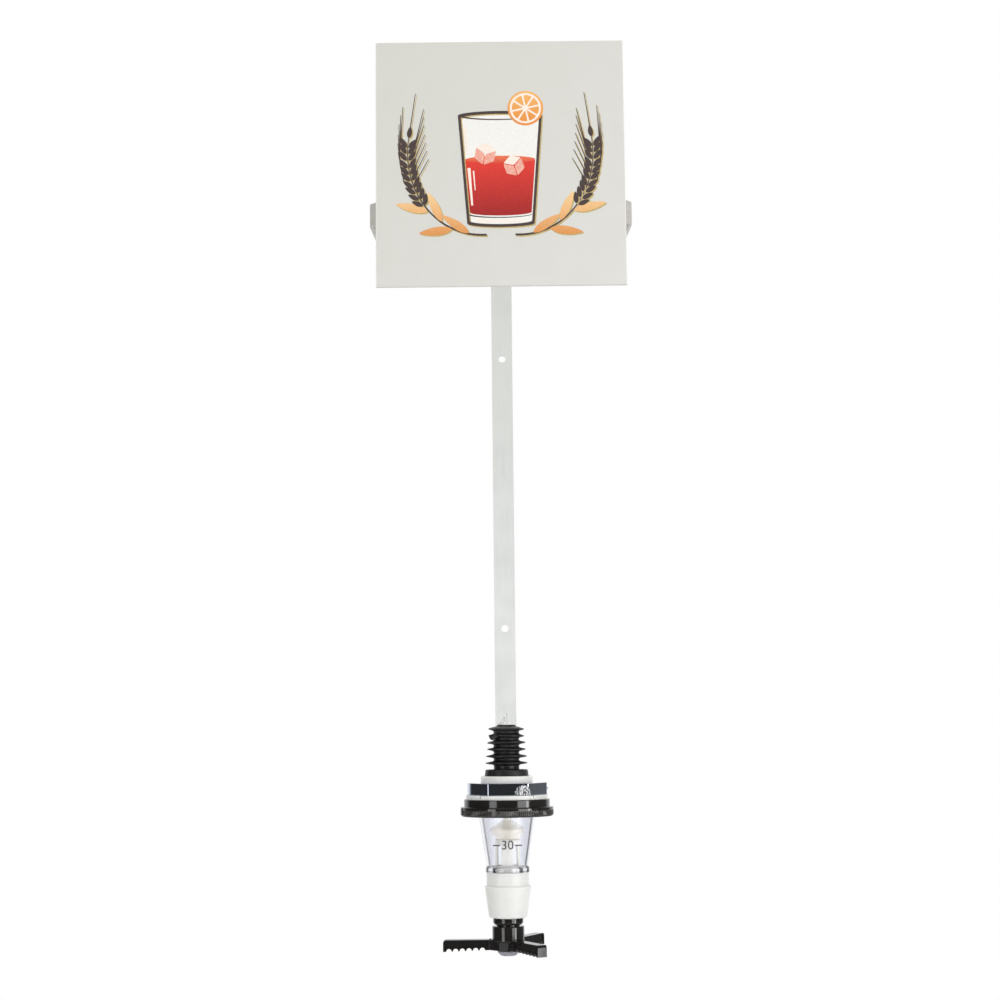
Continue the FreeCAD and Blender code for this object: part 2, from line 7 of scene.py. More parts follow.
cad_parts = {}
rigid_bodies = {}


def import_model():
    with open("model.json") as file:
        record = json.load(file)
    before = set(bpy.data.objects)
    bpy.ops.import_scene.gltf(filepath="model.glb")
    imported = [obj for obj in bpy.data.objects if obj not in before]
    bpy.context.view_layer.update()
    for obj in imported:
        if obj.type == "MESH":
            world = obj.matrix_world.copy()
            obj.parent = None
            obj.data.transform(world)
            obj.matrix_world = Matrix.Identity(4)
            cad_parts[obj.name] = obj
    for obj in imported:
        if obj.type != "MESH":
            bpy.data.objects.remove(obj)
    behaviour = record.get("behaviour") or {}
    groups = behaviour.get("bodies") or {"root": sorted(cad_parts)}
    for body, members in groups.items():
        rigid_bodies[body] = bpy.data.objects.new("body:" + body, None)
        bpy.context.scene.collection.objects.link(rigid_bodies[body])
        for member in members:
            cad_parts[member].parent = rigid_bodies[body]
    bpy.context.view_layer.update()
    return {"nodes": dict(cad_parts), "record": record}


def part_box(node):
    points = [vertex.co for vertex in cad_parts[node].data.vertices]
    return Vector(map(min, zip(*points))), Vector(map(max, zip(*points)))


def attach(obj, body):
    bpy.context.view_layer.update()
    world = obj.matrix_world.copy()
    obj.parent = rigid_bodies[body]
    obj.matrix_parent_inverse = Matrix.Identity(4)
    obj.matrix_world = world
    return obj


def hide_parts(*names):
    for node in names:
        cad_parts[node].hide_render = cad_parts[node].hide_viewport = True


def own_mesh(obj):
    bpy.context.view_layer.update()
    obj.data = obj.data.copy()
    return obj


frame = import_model()
mm = 0.001
axisY = sum(corner.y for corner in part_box("measure_chamber")) / 2  # the measure stands on this line
slots = {entry["node"]: entry["material_slot"] for entry in frame["record"]["subparts"]}
bodies = {node: piece.parent.name.split(":")[1] for node, piece in frame["nodes"].items()}
print("frame loaded:", len(frame["nodes"]), "nodes")


def addObject(name, data):
    made = bpy.data.objects.new(name, data)
    bpy.context.scene.collection.objects.link(made)
    return made


camera = {
    "place": (-2.7, -1385.0, -182.2),  # mm, a little below the middle of the strip
    "pitch": 7.27,  # degrees upwards
    "roll": -0.6,
    "lens": 64.93,
}


def addCamera():
    data = bpy.data.cameras.new("camera")
    data.lens = camera["lens"]
    data.sensor_width = 36.0
    data.clip_end = 200.0
    eye = addObject("camera", data)
    tilt = Matrix.Rotation(math.radians(90 + camera["pitch"]), 4, "X")
    roll = Matrix.Rotation(math.radians(camera["roll"]), 4, "Z")
    eye.matrix_world = Matrix.Translation(Vector(camera["place"]) * mm) @ tilt @ roll
    bpy.context.scene.camera = eye


softboxes = {  # azimuth in degrees round the measure, 0 in front of it; the rest in metres and watts
    "left": {"azimuth": -37.5, "height": -0.15, "distance": 1.6, "size": (0.55, 0.7), "watts": 3.8},
    "right": {"azimuth": 42.0, "height": -0.15, "distance": 1.6, "size": (0.80, 0.7), "watts": 6.4},
    "rightEdge": {"azimuth": 56.5, "height": -0.15, "distance": 1.55, "size": (0.20, 0.7), "watts": 3.2},
    "top": {"azimuth": 0.0, "height": 1.6, "distance": 0.5, "size": (1.6, 0.8), "watts": 6.0},
}
lampAim = -0.20  # the height they point at


def addSoftboxes():
    target = Vector((0, axisY, lampAim))
    for name, box in softboxes.items():
        data = bpy.data.lights.new(name, "AREA")
        data.shape = "RECTANGLE"
        data.size, data.size_y = box["size"]
        data.energy = box["watts"]
        lamp = addObject(name, data)
        turn = math.radians(box["azimuth"])
        away = Vector((math.sin(turn), -math.cos(turn), 0)) * box["distance"]
        lamp.location = target + away + Vector((0, 0, box["height"]))
        lamp.rotation_euler = (target - lamp.location).to_track_quat("-Z", "Y").to_euler()


def linear(hexText):
    channels = [int(hexText[i:i + 2], 16) / 255 for i in (0, 2, 4)]
    return tuple(c / 12.92 if c <= 0.04045 else ((c + 0.055) / 1.055) ** 2.4 for c in channels) + (1.0,)


def fill(tree, node, inputs):  # an input takes a plain value, a socket, or a node, whose live output is used
    for key, value in inputs.items():
        if isinstance(value, bpy.types.Node):
            value = next(output for output in value.outputs if output.enabled)
        if isinstance(value, bpy.types.NodeSocket):
            tree.links.new(value, node.inputs[key])
        else:
            node.inputs[key].default_value = value


def addNode(tree, kind, inputs=None, **settings):
    node = tree.nodes.new("ShaderNode" + kind)
    for key, value in settings.items():
        setattr(node, key, value)
    fill(tree, node, inputs or {})
    return node


studio = {
    "fill": 0.68,  # plain light from all round
    "front": 0.036,  # what mirrors and clear parts see on the dark side of the studio
    "sweep": 1.0,  # and on the white sweep behind the object
    "sweepEdge": (0.60, 0.92),  # how far round it reaches for clear parts, as the Y part of a direction
    "mirrorEdge": (0.50, 0.80),  # and for mirrors, which are meant to find more of it
    "sweepLean": -0.05,  # it reaches further round on the left
    "wall": 0.10,  # a little more on the right-hand wall
    "wallEdge": (0.5, 0.9),
}


def addWorld():
    world = bpy.data.worlds.new("studio")
    world.use_nodes = True
    tree = world.node_tree
    tree.nodes.clear()
    rays = addNode(tree, "LightPath").outputs
    toward = addNode(tree, "TexCoord").outputs["Generated"]
    split = addNode(tree, "SeparateXYZ", {"Vector": toward}).outputs
    leaning = addNode(tree, "Math", {0: split["X"], 1: studio["sweepLean"], 2: split["Y"]},
                      operation="MULTIPLY_ADD")
    through = rays["Is Transmission Ray"]
    near, far = (addNode(tree, "Mix", {"Factor": through, "A": mirrors, "B": clears})
                 for mirrors, clears in zip(studio["mirrorEdge"], studio["sweepEdge"]))
    back = addNode(tree, "MapRange", {
        "Value": leaning, "From Min": near, "From Max": far,
        "To Min": studio["front"], "To Max": studio["sweep"],
    }, interpolation_type="SMOOTHSTEP")
    side = addNode(tree, "MapRange", {
        "Value": split["X"], "From Min": studio["wallEdge"][0], "From Max": studio["wallEdge"][1],
        "To Max": studio["wall"],
    })
    mirrored = addNode(tree, "Math", {0: back, 1: side}, operation="ADD")
    sharp = addNode(tree, "Math", {0: rays["Is Glossy Ray"], 1: through}, operation="MAXIMUM")
    direct = addNode(tree, "Math", {0: 1.0, 1: rays["Diffuse Depth"]}, operation="SUBTRACT", use_clamp=True)
    clear = addNode(tree, "Math", {0: sharp, 1: direct}, operation="MULTIPLY")
    plain = addNode(tree, "Mix", {"Factor": clear, "A": studio["fill"], "B": mirrored})
    strength = addNode(tree, "Mix", {"Factor": rays["Is Camera Ray"], "A": plain, "B": 1.0})
    light = addNode(tree, "Background", {"Color": (1, 1, 1, 1), "Strength": strength})
    addNode(tree, "OutputWorld", {"Surface": light})
    bpy.context.scene.world = world


floor = {
    "height": -0.70,
    "half": 1.5,
    "grey": 0.85,
    "near": 0.5,  # up to here it keeps the object's shadow
    "far": 1.3,  # from here on it is as white as the background
    "liftNear": 0.25,
    "liftFar": 0.72,
}


def addFloor():
    bm = bmesh.new()
    bmesh.ops.create_grid(bm, x_segments=1, y_segments=1, size=floor["half"])
    bmesh.ops.translate(bm, verts=bm.verts, vec=(0, 0, floor["height"]))
    mesh = bpy.data.meshes.new("floor")
    bm.to_mesh(mesh)
    bm.free()
    ground = addObject("floor", mesh)
    pale = bpy.data.materials.new("paleFloor")
    pale.use_nodes = True
    tree = pale.node_tree
    tree.nodes.clear()
    rays = addNode(tree, "LightPath").outputs
    seen = addNode(tree, "Math", {0: rays["Is Camera Ray"], 1: rays["Is Transmission Ray"]},
                   operation="MAXIMUM")
    paint = addNode(tree, "BsdfDiffuse", {"Color": (floor["grey"], floor["grey"], floor["grey"], 1)})
    spot = addNode(tree, "TexCoord").outputs["Object"]
    reach = addNode(tree, "VectorMath", {0: spot}, operation="LENGTH")
    rise = addNode(tree, "MapRange", {
        "Value": reach, "From Min": floor["near"], "From Max": floor["far"],
        "To Min": floor["liftNear"], "To Max": floor["liftFar"],
    })
    lift = addNode(tree, "Math", {0: seen, 1: rise}, operation="MULTIPLY")
    glow = addNode(tree, "Emission", {"Color": (1, 1, 1, 1), "Strength": lift})
    both = addNode(tree, "AddShader", {0: paint, 1: glow})
    addNode(tree, "OutputMaterial", {"Surface": both})
    mesh.materials.append(pale)


addCamera()
addSoftboxes()
addWorld()
addFloor()
bpy.context.scene.view_settings.view_transform = "Standard"
print("studio ready")


def startMaterial(name, hexText, sockets):
    made = bpy.data.materials.new(name)
    made.use_nodes = True
    tree = made.node_tree
    shader = tree.nodes["Principled BSDF"]
    fill(tree, shader, {"Base Color": linear(hexText), **sockets})
    return made, tree, shader, addNode(tree, "TexCoord").outputs["Object"]


# A stuff whose colour and gloss follow one cloud of noise, and whose relief is the cloud or a finer
# grain. Cloud and grain are a size in millimetres and a detail, bump is a strength and a height, and a
# veil is the part of the cloud, from low to high, that is seen, and how strongly.
def mottled(name, hexText, sockets, cloud, tones, gloss, bump, grain=None, veil=None):
    made, tree, shader, place = startMaterial(name, hexText, sockets)
    clouds = addNode(tree, "TexNoise", {"Vector": place, "Scale": 1 / (cloud[0] * mm), "Detail": cloud[1]})
    amount = relief = clouds
    if veil:
        amount = addNode(tree, "MapRange", {
            "Value": clouds, "From Min": veil[0], "From Max": veil[1], "To Max": veil[2],
        })
    paint = addNode(tree, "Mix", {0: amount, 6: linear(tones[0]), 7: linear(tones[1])}, data_type="RGBA")
    sheen = addNode(tree, "MapRange", {"Value": clouds, "To Min": gloss[0], "To Max": gloss[1]})
    if grain:
        relief = addNode(tree, "TexNoise", {
            "Vector": place, "Scale": 1 / (grain[0] * mm), "Detail": grain[1],
        })
    bumps = addNode(tree, "Bump", {"Height": relief, "Strength": bump[0], "Distance": bump[1] * mm})
    fill(tree, shader, {"Base Color": paint, "Roughness": sheen, "Normal": bumps})
    return made


# Aluminium flat bar as it leaves the mill: the die leaves fine lines along it, and the oxide makes it
# dull and grey-white, so it glows softly instead of mirroring.
def millAluminium(name, along, darkText, paleText, paintedShadeFrom, paintedShadeTo):
    made, tree, shader, place = startMaterial(name, paleText, {"Metallic": 0.22, "Roughness": 0.5})
    drawn = addNode(tree, "Mapping", {"Vector": place, "Scale": along})
    lines = addNode(tree, "TexNoise", {"Vector": drawn, "Scale": 1 / (0.9 * mm), "Detail": 3.0})
    bloom = addNode(tree, "TexNoise", {"Vector": place, "Scale": 1 / (22 * mm), "Detail": 4.0})
    scuffed = addNode(tree, "Mapping", {
        "Vector": place, "Rotation": (0.0, 0.16, 0.0), "Scale": (1.0, 1.0, 0.04),
    })
    scuffs = addNode(tree, "TexNoise", {"Vector": scuffed, "Scale": 1 / (1.1 * mm), "Detail": 1.0})
    scratch = addNode(tree, "MapRange", {"Value": scuffs, "From Min": 0.70, "From Max": 0.76})
    both = addNode(tree, "Mix", {"Factor": 0.45, "A": bloom, "B": lines})
    shade = addNode(tree, "MapRange", {"Value": both, "From Min": 0.35, "From Max": 0.65})
    metal = addNode(tree, "Mix", {0: shade, 6: linear(darkText), 7: linear(paleText)}, data_type="RGBA")
    split = addNode(tree, "SeparateXYZ", {"Vector": place}).outputs
    # painted shade: between two heights the bar's colour is mixed towards a darker grey, darkest at its top
    dull = addNode(tree, "MapRange", {
        "Value": split["Z"], "From Min": paintedShadeFrom, "From Max": paintedShadeTo, "To Max": 0.6,
    })
    metal = addNode(tree, "Mix", {0: dull, 6: metal, 7: linear("D3D5D1")}, data_type="RGBA")
    worn = addNode(tree, "Mix", {0: scratch, 6: metal, 7: linear("DADCDB")}, data_type="RGBA")
    gloss = addNode(tree, "MapRange", {"Value": bloom, "To Min": 0.42, "To Max": 0.60})
    height = addNode(tree, "Math", {0: lines, 1: scratch}, operation="SUBTRACT")
    bump = addNode(tree, "Bump", {"Height": height, "Strength": 0.25, "Distance": 0.02 * mm})
    fill(tree, shader, {"Base Color": worn, "Roughness": gloss, "Normal": bump})
    return made


# Foamed PVC sheet with a matt off-white print coat: no gloss, a very slight mottle, and a paler cut
# edge. It is painted darker towards its top left, as painted shade.
def signBoard():
    made, tree, shader, place = startMaterial("foamedPvcSheet", "DEDDD6", {"Roughness": 0.62, "IOR": 1.53})
    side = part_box("sign_panel")[1].x
    mottle = addNode(tree, "TexNoise", {"Vector": place, "Scale": 1 / (14 * mm), "Detail": 3.0})
    coat = addNode(tree, "Mix", {0: mottle, 6: linear("D4D3CD"), 7: linear("DAD9D5")}, data_type="RGBA")
    split = addNode(tree, "SeparateXYZ", {"Vector": place}).outputs
    # painted shade: the coat is mixed towards a darker tone towards the sheet's top left
    slope = addNode(tree, "Math", {0: split["X"], 1: split["Z"]}, operation="SUBTRACT")
    topLeftShade = addNode(tree, "MapRange", {
        "Value": slope, "From Min": -0.36, "From Max": 0.0, "To Min": 0.6, "To Max": 0.0,
    })
    coat = addNode(tree, "Mix", {0: topLeftShade, 6: coat, 7: linear("CDCCC3")}, data_type="RGBA")
    aside = addNode(tree, "Math", {0: split["X"]}, operation="ABSOLUTE")
    rim = addNode(tree, "MapRange", {
        "Value": aside, "From Min": side - 0.5 * mm, "From Max": side - 0.3 * mm,
    })
    paint = addNode(tree, "Mix", {0: rim, 6: coat, 7: linear("ECECE7")}, data_type="RGBA")
    pores = addNode(tree, "TexNoise", {"Vector": place, "Scale": 1 / (0.6 * mm), "Detail": 2.0})
    bump = addNode(tree, "Bump", {"Height": pores, "Strength": 0.15, "Distance": 0.02 * mm})
    fill(tree, shader, {"Base Color": paint, "Normal": bump})
    return made


# Screen-printed ink: flat and matt, with the slight starving that a mesh leaves. Some inks fade from
# one tone to another between two heights, as a blended print does.
def screenInk(name, hexText, otherText, fade=None):
    made, tree, shader, place = startMaterial(name, hexText, {"Roughness": 0.5, "IOR": 1.5})
    mesh = addNode(tree, "TexNoise", {"Vector": place, "Scale": 1 / (1.2 * mm), "Detail": 3.0})
    tone = addNode(tree, "MapRange", {"Value": mesh, "From Min": 0.45, "From Max": 0.75})
    if fade:
        split = addNode(tree, "SeparateXYZ", {"Vector": place}).outputs
        rise = addNode(tree, "MapRange", {
            "Value": split["Z"], "From Min": fade[0] * mm, "From Max": fade[1] * mm,
        })
        grain = addNode(tree, "Math", {0: mesh, 1: 0.5, 2: rise}, operation="MULTIPLY_ADD")
        tone = addNode(tree, "Math", {0: grain, 1: 0.25}, operation="SUBTRACT", use_clamp=True)
    ink = addNode(tree, "Mix", {0: tone, 6: linear(hexText), 7: linear(otherText)}, data_type="RGBA")
    fill(tree, shader, {"Base Color": ink})
    return made


# Closed-cell acrylic foam tape: white, dead matt, with cells of about half a millimetre.
def foamTape():
    made, tree, shader, place = startMaterial("acrylicFoamTape", "EFEFEB", {"Roughness": 0.9})
    cells = addNode(tree, "TexVoronoi", {"Vector": place, "Scale": 1 / (0.5 * mm)})
    foam = addNode(tree, "Mix", {0: cells, 6: linear("F2F2EF"), 7: linear("D9D9D4")}, data_type="RGBA")
    bump = addNode(tree, "Bump", {"Height": cells, "Strength": 0.6, "Distance": 0.2 * mm}, invert=True)
    fill(tree, shader, {"Base Color": foam, "Normal": bump})
    return made


# Nitrile rubber, compression moulded: near black with a soft sheen, dulled by a grey bloom that
# settles unevenly, over a fine mould grain.
def nitrileRubber(name, darkText, bloomText, roughness):
    return mottled(name, darkText, {"Roughness": roughness, "IOR": 1.52}, (6, 5.0), (darkText, bloomText),
                   (roughness - 0.1, roughness + 0.15), (0.35, 0.05), (0.35, 3.0), (0.4, 0.75, 0.6))


# Clear styrene acrylonitrile, injection moulded: as bright as glass with a cold blue cast in its
# thickness, and a faint waviness from the mould. Lamp light passes it, so the valve inside isn't dark.
# Soft clear PVC pipe is the same, but duller, and it bends light less.
def clearStyrene(name, hexText, roughness, bend):
    made, tree, shader, place = startMaterial(
        name, hexText, {"Roughness": roughness, "IOR": bend, "Transmission Weight": 1.0})
    ripple = addNode(tree, "TexNoise", {"Vector": place, "Scale": 1 / (9 * mm), "Detail": 1.0})
    hairlines = addNode(tree, "TexNoise", {"Vector": place, "Scale": 1 / (0.5 * mm), "Detail": 4.0})
    gloss = addNode(tree, "MapRange", {
        "Value": hairlines, "From Min": 0.55, "From Max": 0.8,
        "To Min": roughness, "To Max": roughness + 0.06,
    })
    bump = addNode(tree, "Bump", {"Height": ripple, "Strength": 0.1, "Distance": 0.15 * mm})
    fill(tree, shader, {"Roughness": gloss, "Normal": bump})
    rays = addNode(tree, "LightPath").outputs
    passing = addNode(tree, "BsdfTransparent", {"Color": linear("FEFEFF")})
    both = addNode(tree, "MixShader", {0: rays["Is Shadow Ray"], 1: shader, 2: passing})
    fill(tree, tree.nodes["Material Output"], {"Surface": both})
    return made


# Acetal, injection moulded: opaque milk white, waxy gloss, light just below its skin, with faint
# flow lines and small grey marks from handling.
def whiteAcetal(name, depth, amount):
    made, tree, shader, place = startMaterial(name, "E6E6E2", {
        "Roughness": 0.34, "IOR": 1.48, "Subsurface Weight": amount, "Subsurface Scale": depth,
        "Subsurface Radius": (1.0, 0.95, 0.9),
    })
    flow = addNode(tree, "Mapping", {"Vector": place, "Scale": (1.0, 1.0, 2.5)})
    cloud = addNode(tree, "TexNoise", {"Vector": flow, "Scale": 1 / (9 * mm), "Detail": 3.0})
    milk = addNode(tree, "Mix", {0: cloud, 6: linear("DFDFDB"), 7: linear("E8E8E5")}, data_type="RGBA")
    specks = addNode(tree, "TexNoise", {"Vector": place, "Scale": 1 / (1.6 * mm), "Detail": 4.0})
    dirt = addNode(tree, "MapRange", {
        "Value": specks, "From Min": 0.68, "From Max": 0.78, "To Max": 0.35,
    })
    paint = addNode(tree, "Mix", {0: dirt, 6: milk, 7: linear("C9C8C2")}, data_type="RGBA")
    gloss = addNode(tree, "MapRange", {"Value": cloud, "To Min": 0.27, "To Max": 0.42})
    bump = addNode(tree, "Bump", {"Height": specks, "Strength": 0.12, "Distance": 0.04 * mm})
    fill(tree, shader, {"Base Color": paint, "Roughness": gloss, "Normal": bump})
    return made


nut = {
    "flats": 50.0,
    "turn": 2.0,  # degrees
    "bore": 18.5,
    "corner": 0.9,
    "edge": 0.35,
    "gate": 0.85,  # the nub left by the moulding gate
    "crazed": 10.6,  # the crazed patch: along the front flat from its middle
    "crazedDrop": 7.0,  # below the top
    "crazedReach": 5.6,
    "crazedEdge": (2.4, 1.8),  # inside the reach, where it begins to fray
    "worn": (6.4, 1.3),  # the left corner is rubbed back: how far along its flat, and how deep
}


# Chrome plate on moulded ABS: a dark mirror with the slight ripple of the plastic under it, and one
# patch where the plate has crazed and lifted into bright flakes.
def chromePlate():
    made, tree, shader, place = startMaterial("chromePlate", "C9D0DE", {"Metallic": 1.0, "Roughness": 0.05})
    across = Matrix.Rotation(math.radians(nut["turn"]), 2)
    flat = across @ Vector((nut["crazed"], -nut["flats"] / 2)) * mm
    spot = Vector((flat.x, axisY + flat.y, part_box("hex_nut")[1].z - nut["crazedDrop"] * mm))
    ripple = addNode(tree, "TexNoise", {"Vector": place, "Scale": 1 / (7 * mm), "Detail": 2.0})
    wave = addNode(tree, "Bump", {"Height": ripple, "Strength": 0.12, "Distance": 0.2 * mm})
    nearby = addNode(tree, "VectorMath", {0: place, 1: spot}, operation="DISTANCE")
    flakeNoise = addNode(tree, "TexNoise", {"Vector": place, "Scale": 1 / (1.5 * mm), "Detail": 3.0})
    ragged = addNode(tree, "Math", {0: flakeNoise, 1: -4.0 * mm, 2: nearby}, operation="MULTIPLY_ADD")
    edgeLow, edgeHigh = ((nut["crazedReach"] - inside) * mm for inside in nut["crazedEdge"])
    crazed = addNode(tree, "MapRange", {
        "Value": ragged, "From Min": edgeLow, "From Max": edgeHigh, "To Min": 1.0, "To Max": 0.0,
    })
    leaning = addNode(tree, "Mapping", {
        "Vector": place, "Rotation": (0.0, -0.6, 0.0), "Scale": (1.0, 1.0, 0.3),
    })
    flakes = addNode(tree, "TexNoise", {
        "Vector": leaning, "Scale": 1 / (0.9 * mm), "Detail": 3.0, "Distortion": 1.2,
    })
    edge = addNode(tree, "MapRange", {"Value": flakes, "From Min": 0.42, "From Max": 0.56})
    flake = addNode(tree, "Mix", {0: edge, 6: linear("F4F5F8"), 7: linear("3E4048")}, data_type="RGBA")
    plate = addNode(tree, "Mix", {0: crazed, 6: linear("C9D0DE"), 7: flake}, data_type="RGBA")
    gloss = addNode(tree, "MapRange", {"Value": crazed, "To Min": 0.05, "To Max": 0.5})
    metallic = addNode(tree, "MapRange", {"Value": crazed, "To Min": 1.0, "To Max": 0.25})
    depth = addNode(tree, "Math", {0: edge, 1: crazed}, operation="MULTIPLY")
    bump = addNode(tree, "Bump", {
        "Height": depth, "Strength": 0.8, "Distance": 0.25 * mm, "Normal": wave,
    })
    fill(tree, shader, {"Base Color": plate, "Roughness": gloss, "Metallic": metallic, "Normal": bump})
    return made


# ABS, injection moulded in a polished mould: deep black with a piano gloss, broken by rub marks and
# a little dust. Between two radii and two heights, the ridge tops get a painted highlight in lighter grey,
# and are duller.
def blackAbs(name, ridgeHighlight=None):
    made, tree, shader, place = startMaterial(name, "1C1B1A", {"Roughness": 0.09, "IOR": 1.54})
    rubbed = addNode(tree, "TexNoise", {"Vector": place, "Scale": 1 / (8 * mm), "Detail": 5.0})
    dull = addNode(tree, "MapRange", {
        "Value": rubbed, "From Min": 0.3, "From Max": 0.8, "To Min": 0.05, "To Max": 0.14,
    })
    dust = addNode(tree, "TexNoise", {"Vector": place, "Scale": 1 / (0.7 * mm), "Detail": 5.0})
    specks = addNode(tree, "MapRange", {"Value": dust, "From Min": 0.7, "From Max": 0.8, "To Max": 0.4})
    black = addNode(tree, "Mix", {0: rubbed, 6: linear("1B1A19"), 7: linear("242221")}, data_type="RGBA")
    colour = addNode(tree, "Mix", {0: specks, 6: black, 7: linear("6A6661")}, data_type="RGBA")
    if ridgeHighlight:
        lowRadius, highRadius, lowest, highest = ridgeHighlight
        flat = addNode(tree, "Mapping", {
            "Vector": place, "Location": (0, -axisY, 0), "Scale": (1.0, 1.0, 0.0),
        })
        reach = addNode(tree, "VectorMath", {0: flat}, operation="LENGTH")
        top = addNode(tree, "MapRange", {
            "Value": reach, "From Min": lowRadius * mm, "From Max": highRadius * mm,
        })
        split = addNode(tree, "SeparateXYZ", {"Vector": place}).outputs
        above = addNode(tree, "Math", {0: split["Z"], 1: lowest * mm}, operation="GREATER_THAN")
        below = addNode(tree, "Math", {0: split["Z"], 1: highest * mm}, operation="LESS_THAN")
        band = addNode(tree, "Math", {0: above, 1: below}, operation="MULTIPLY")
        ridge = addNode(tree, "Math", {0: top, 1: band}, operation="MULTIPLY")
        # painted highlight: the ridge tops are mixed towards a lighter grey
        colour = addNode(tree, "Mix", {0: ridge, 6: colour, 7: linear("3A3735")}, data_type="RGBA")
        dull = addNode(tree, "Mix", {"Factor": ridge, "A": dull, "B": 0.25})
    bump = addNode(tree, "Bump", {"Height": rubbed, "Strength": 0.08, "Distance": 0.15 * mm})
    fill(tree, shader, {"Base Color": colour, "Roughness": dull, "Normal": bump})
    return made


# Natural polypropylene and silicone let light through: shadows inside them fill up, so forms read
# softly through the clear wall. The thin silicone is also seen through, by its alpha.
def translucent(name, paleText, deepText, sockets):
    rough = sockets["Roughness"]
    return mottled(name, paleText, sockets, (5, 3.0), (deepText, paleText), (rough - 0.08, rough + 0.08),
                   (0.15, 0.04), (0.6, 2.0))


stripMetal = millAluminium("millAluminiumStrip", (1.0, 0.02, 0.02), "E3E5E2", "EEF0ED", -0.1, 0.15)
mats = {
    "strip_aluminium": stripMetal,
    # solid aluminium rivets, set cold: smoother and a little darker than the bar, dented by the snap
    "rivet_aluminium": mottled("rivetAluminium", "C9CBCB", {"Metallic": 0.9, "Roughness": 0.38}, (0.8, 2.0),
                               ("BFC1C1", "D6D8D8"), (0.28, 0.48), (0.4, 0.1)),
    "sign_board": signBoard(),
    "foam_tape": foamTape(),
    "black_rubber": nitrileRubber("nitrileRubber", "1A1919", "433F3E", 0.4),
    "clear_plastic": clearStyrene("clearStyrene", "F8F9FE", 0.01, 1.57),
    "white_plastic": whiteAcetal("whiteAcetal", 1.5 * mm, 0.25),
    "chromed_plastic": chromePlate(),
    "black_plastic": blackAbs("blackAbs"),
    "milky_plastic": translucent("naturalPolypropylene", "F8F4E6", "F2EEDD", {
        "Roughness": 0.35, "IOR": 1.49, "Subsurface Weight": 0.8, "Subsurface Scale": 6 * mm,
        "Subsurface Radius": (1.0, 0.95, 0.85), "Transmission Weight": 0.15,
    }),
    "silicone": translucent("siliconeRubber", "FFF8E8", "FFF3DC", {
        "Roughness": 0.5, "IOR": 1.4, "Subsurface Weight": 0.3, "Subsurface Scale": 3 * mm,
        "Subsurface Radius": (1.0, 0.92, 0.8), "Alpha": 0.28,
    }),
    "seal_rubber": nitrileRubber("sealRubber", "2C2C2C", "565452", 0.6),
    # stainless spring wire and nut: drawn bright, with fine lines that spread each highlight
    "spring_steel": mottled("stainlessSteel", "BDBEC1", {"Metallic": 1.0, "Roughness": 0.25}, (0.4, 4.0),
                            ("AEAFB2", "CACBCE"), (0.16, 0.36), (0.2, 0.02)),
    # grey acetal copolymer: satin, faintly violet, with pale rub marks from glass rims
    "grey_plastic": mottled("greyAcetal", "8B8A93", {"Roughness": 0.32, "IOR": 1.48}, (3, 4.0),
                            ("84838D", "A5A4AC"), (0.24, 0.42), (0.15, 0.05), veil=(0.45, 0.75, 1.0)),
}
# painted shade: the hoop gets darker tones of the same mill aluminium as the bar; its top-shade heights lie
# above it
shadedHoopMetal = millAluminium("millAluminiumHoop", (0.02, 0.02, 1.0), "C7C4BD", "D2CFC8", 1.0, 1.1)
inks = {
    "brown": screenInk("brownInk", "4B3E3B", "5A4C48"),
    "gold": screenInk("goldInk", "BBA56B", "CDB985"),
    "red": screenInk("redInk", "93131A", "E2382B", (166.0, 214.0)),
    "coral": screenInk("coralInk", "D9402F", "F08A5C", (211.0, 219.0)),
    "amber": screenInk("amberInk", "DD9350", "F2CB92", (160.0, 190.0)),
    "orange": screenInk("orangeInk", "E58A35", "F2B463", (238.0, 262.0)),
    "pale": screenInk("paleInk", "F6E4D6", "FBF1E8"),
    "frost": screenInk("frostInk", "E99F8C", "F7CDBE"),
    "glass": screenInk("glassInk", "ECEAE4", "F3F1EC"),
    "black": screenInk("blackInk", "1E1D1F", "343235"),
}
for name, piece in frame["nodes"].items():
    piece.data.materials.clear()
    piece.data.materials.append(mats[slots[name]])
print("materials ready:", len(bpy.data.materials))


def addPiece(name, bm, material, nodes, body=None, sharp=30.0, hide=True, weighted=True):
    bmesh.ops.scale(bm, vec=(mm, mm, mm), verts=bm.verts)
    mesh = bpy.data.meshes.new(name)
    bm.to_mesh(mesh)
    bm.free()
    mesh.materials.append(material)
    mesh.shade_smooth()
    mesh.set_sharp_from_angle(angle=math.radians(sharp))
    piece = addObject(name, mesh)
    if weighted:  # a flat face keeps its own shading beside its small bevels
        piece.modifiers.new("weighted", "WEIGHTED_NORMAL").keep_sharp = True
    if hide:
        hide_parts(*nodes)
    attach(piece, body or bodies[nodes[0]])
    return piece


def span(node):  # lowest and highest point and outer radius of a CAD node, in millimetres
    low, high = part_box(node)
    return low.z / mm, high.z / mm, (high.x - low.x) / 2 / mm


axisLine = axisY / mm
roundSteps = 128
sameSpot = 1e-4  # corners closer than this are one, in millimetres


def bevel(bm, geom, offset, segments=2, affect="EDGES"):
    bmesh.ops.bevel(bm, geom=geom, offset=offset, offset_type="OFFSET", segments=segments, profile=0.5,
                    affect=affect, clamp_overlap=True, material=-1)


def newVerts(result):
    return [item for item in result["geom"] if isinstance(item, bmesh.types.BMVert)]


def thicken(bm, vec):  # draws a flat shape out into a closed one
    grown = newVerts(bmesh.ops.extrude_face_region(bm, geom=bm.faces[:]))
    bmesh.ops.translate(bm, verts=grown, vec=vec)
    bmesh.ops.recalc_face_normals(bm, faces=bm.faces)


def sharpEdges(bm, least):  # the edges that turn by more than this many degrees
    return [edge for edge in bm.edges if edge.calc_face_angle(0.0) > math.radians(least)]


def inPlan(spot):  # from the measure's axis, seen from above
    return Vector((spot.x, spot.y - axisLine))


def moveOut(vert, far):  # away from the axis, or towards it
    across = inPlan(vert.co)
    across *= 1 + far / across.length
    vert.co.x, vert.co.y = across.x, axisLine + across.y


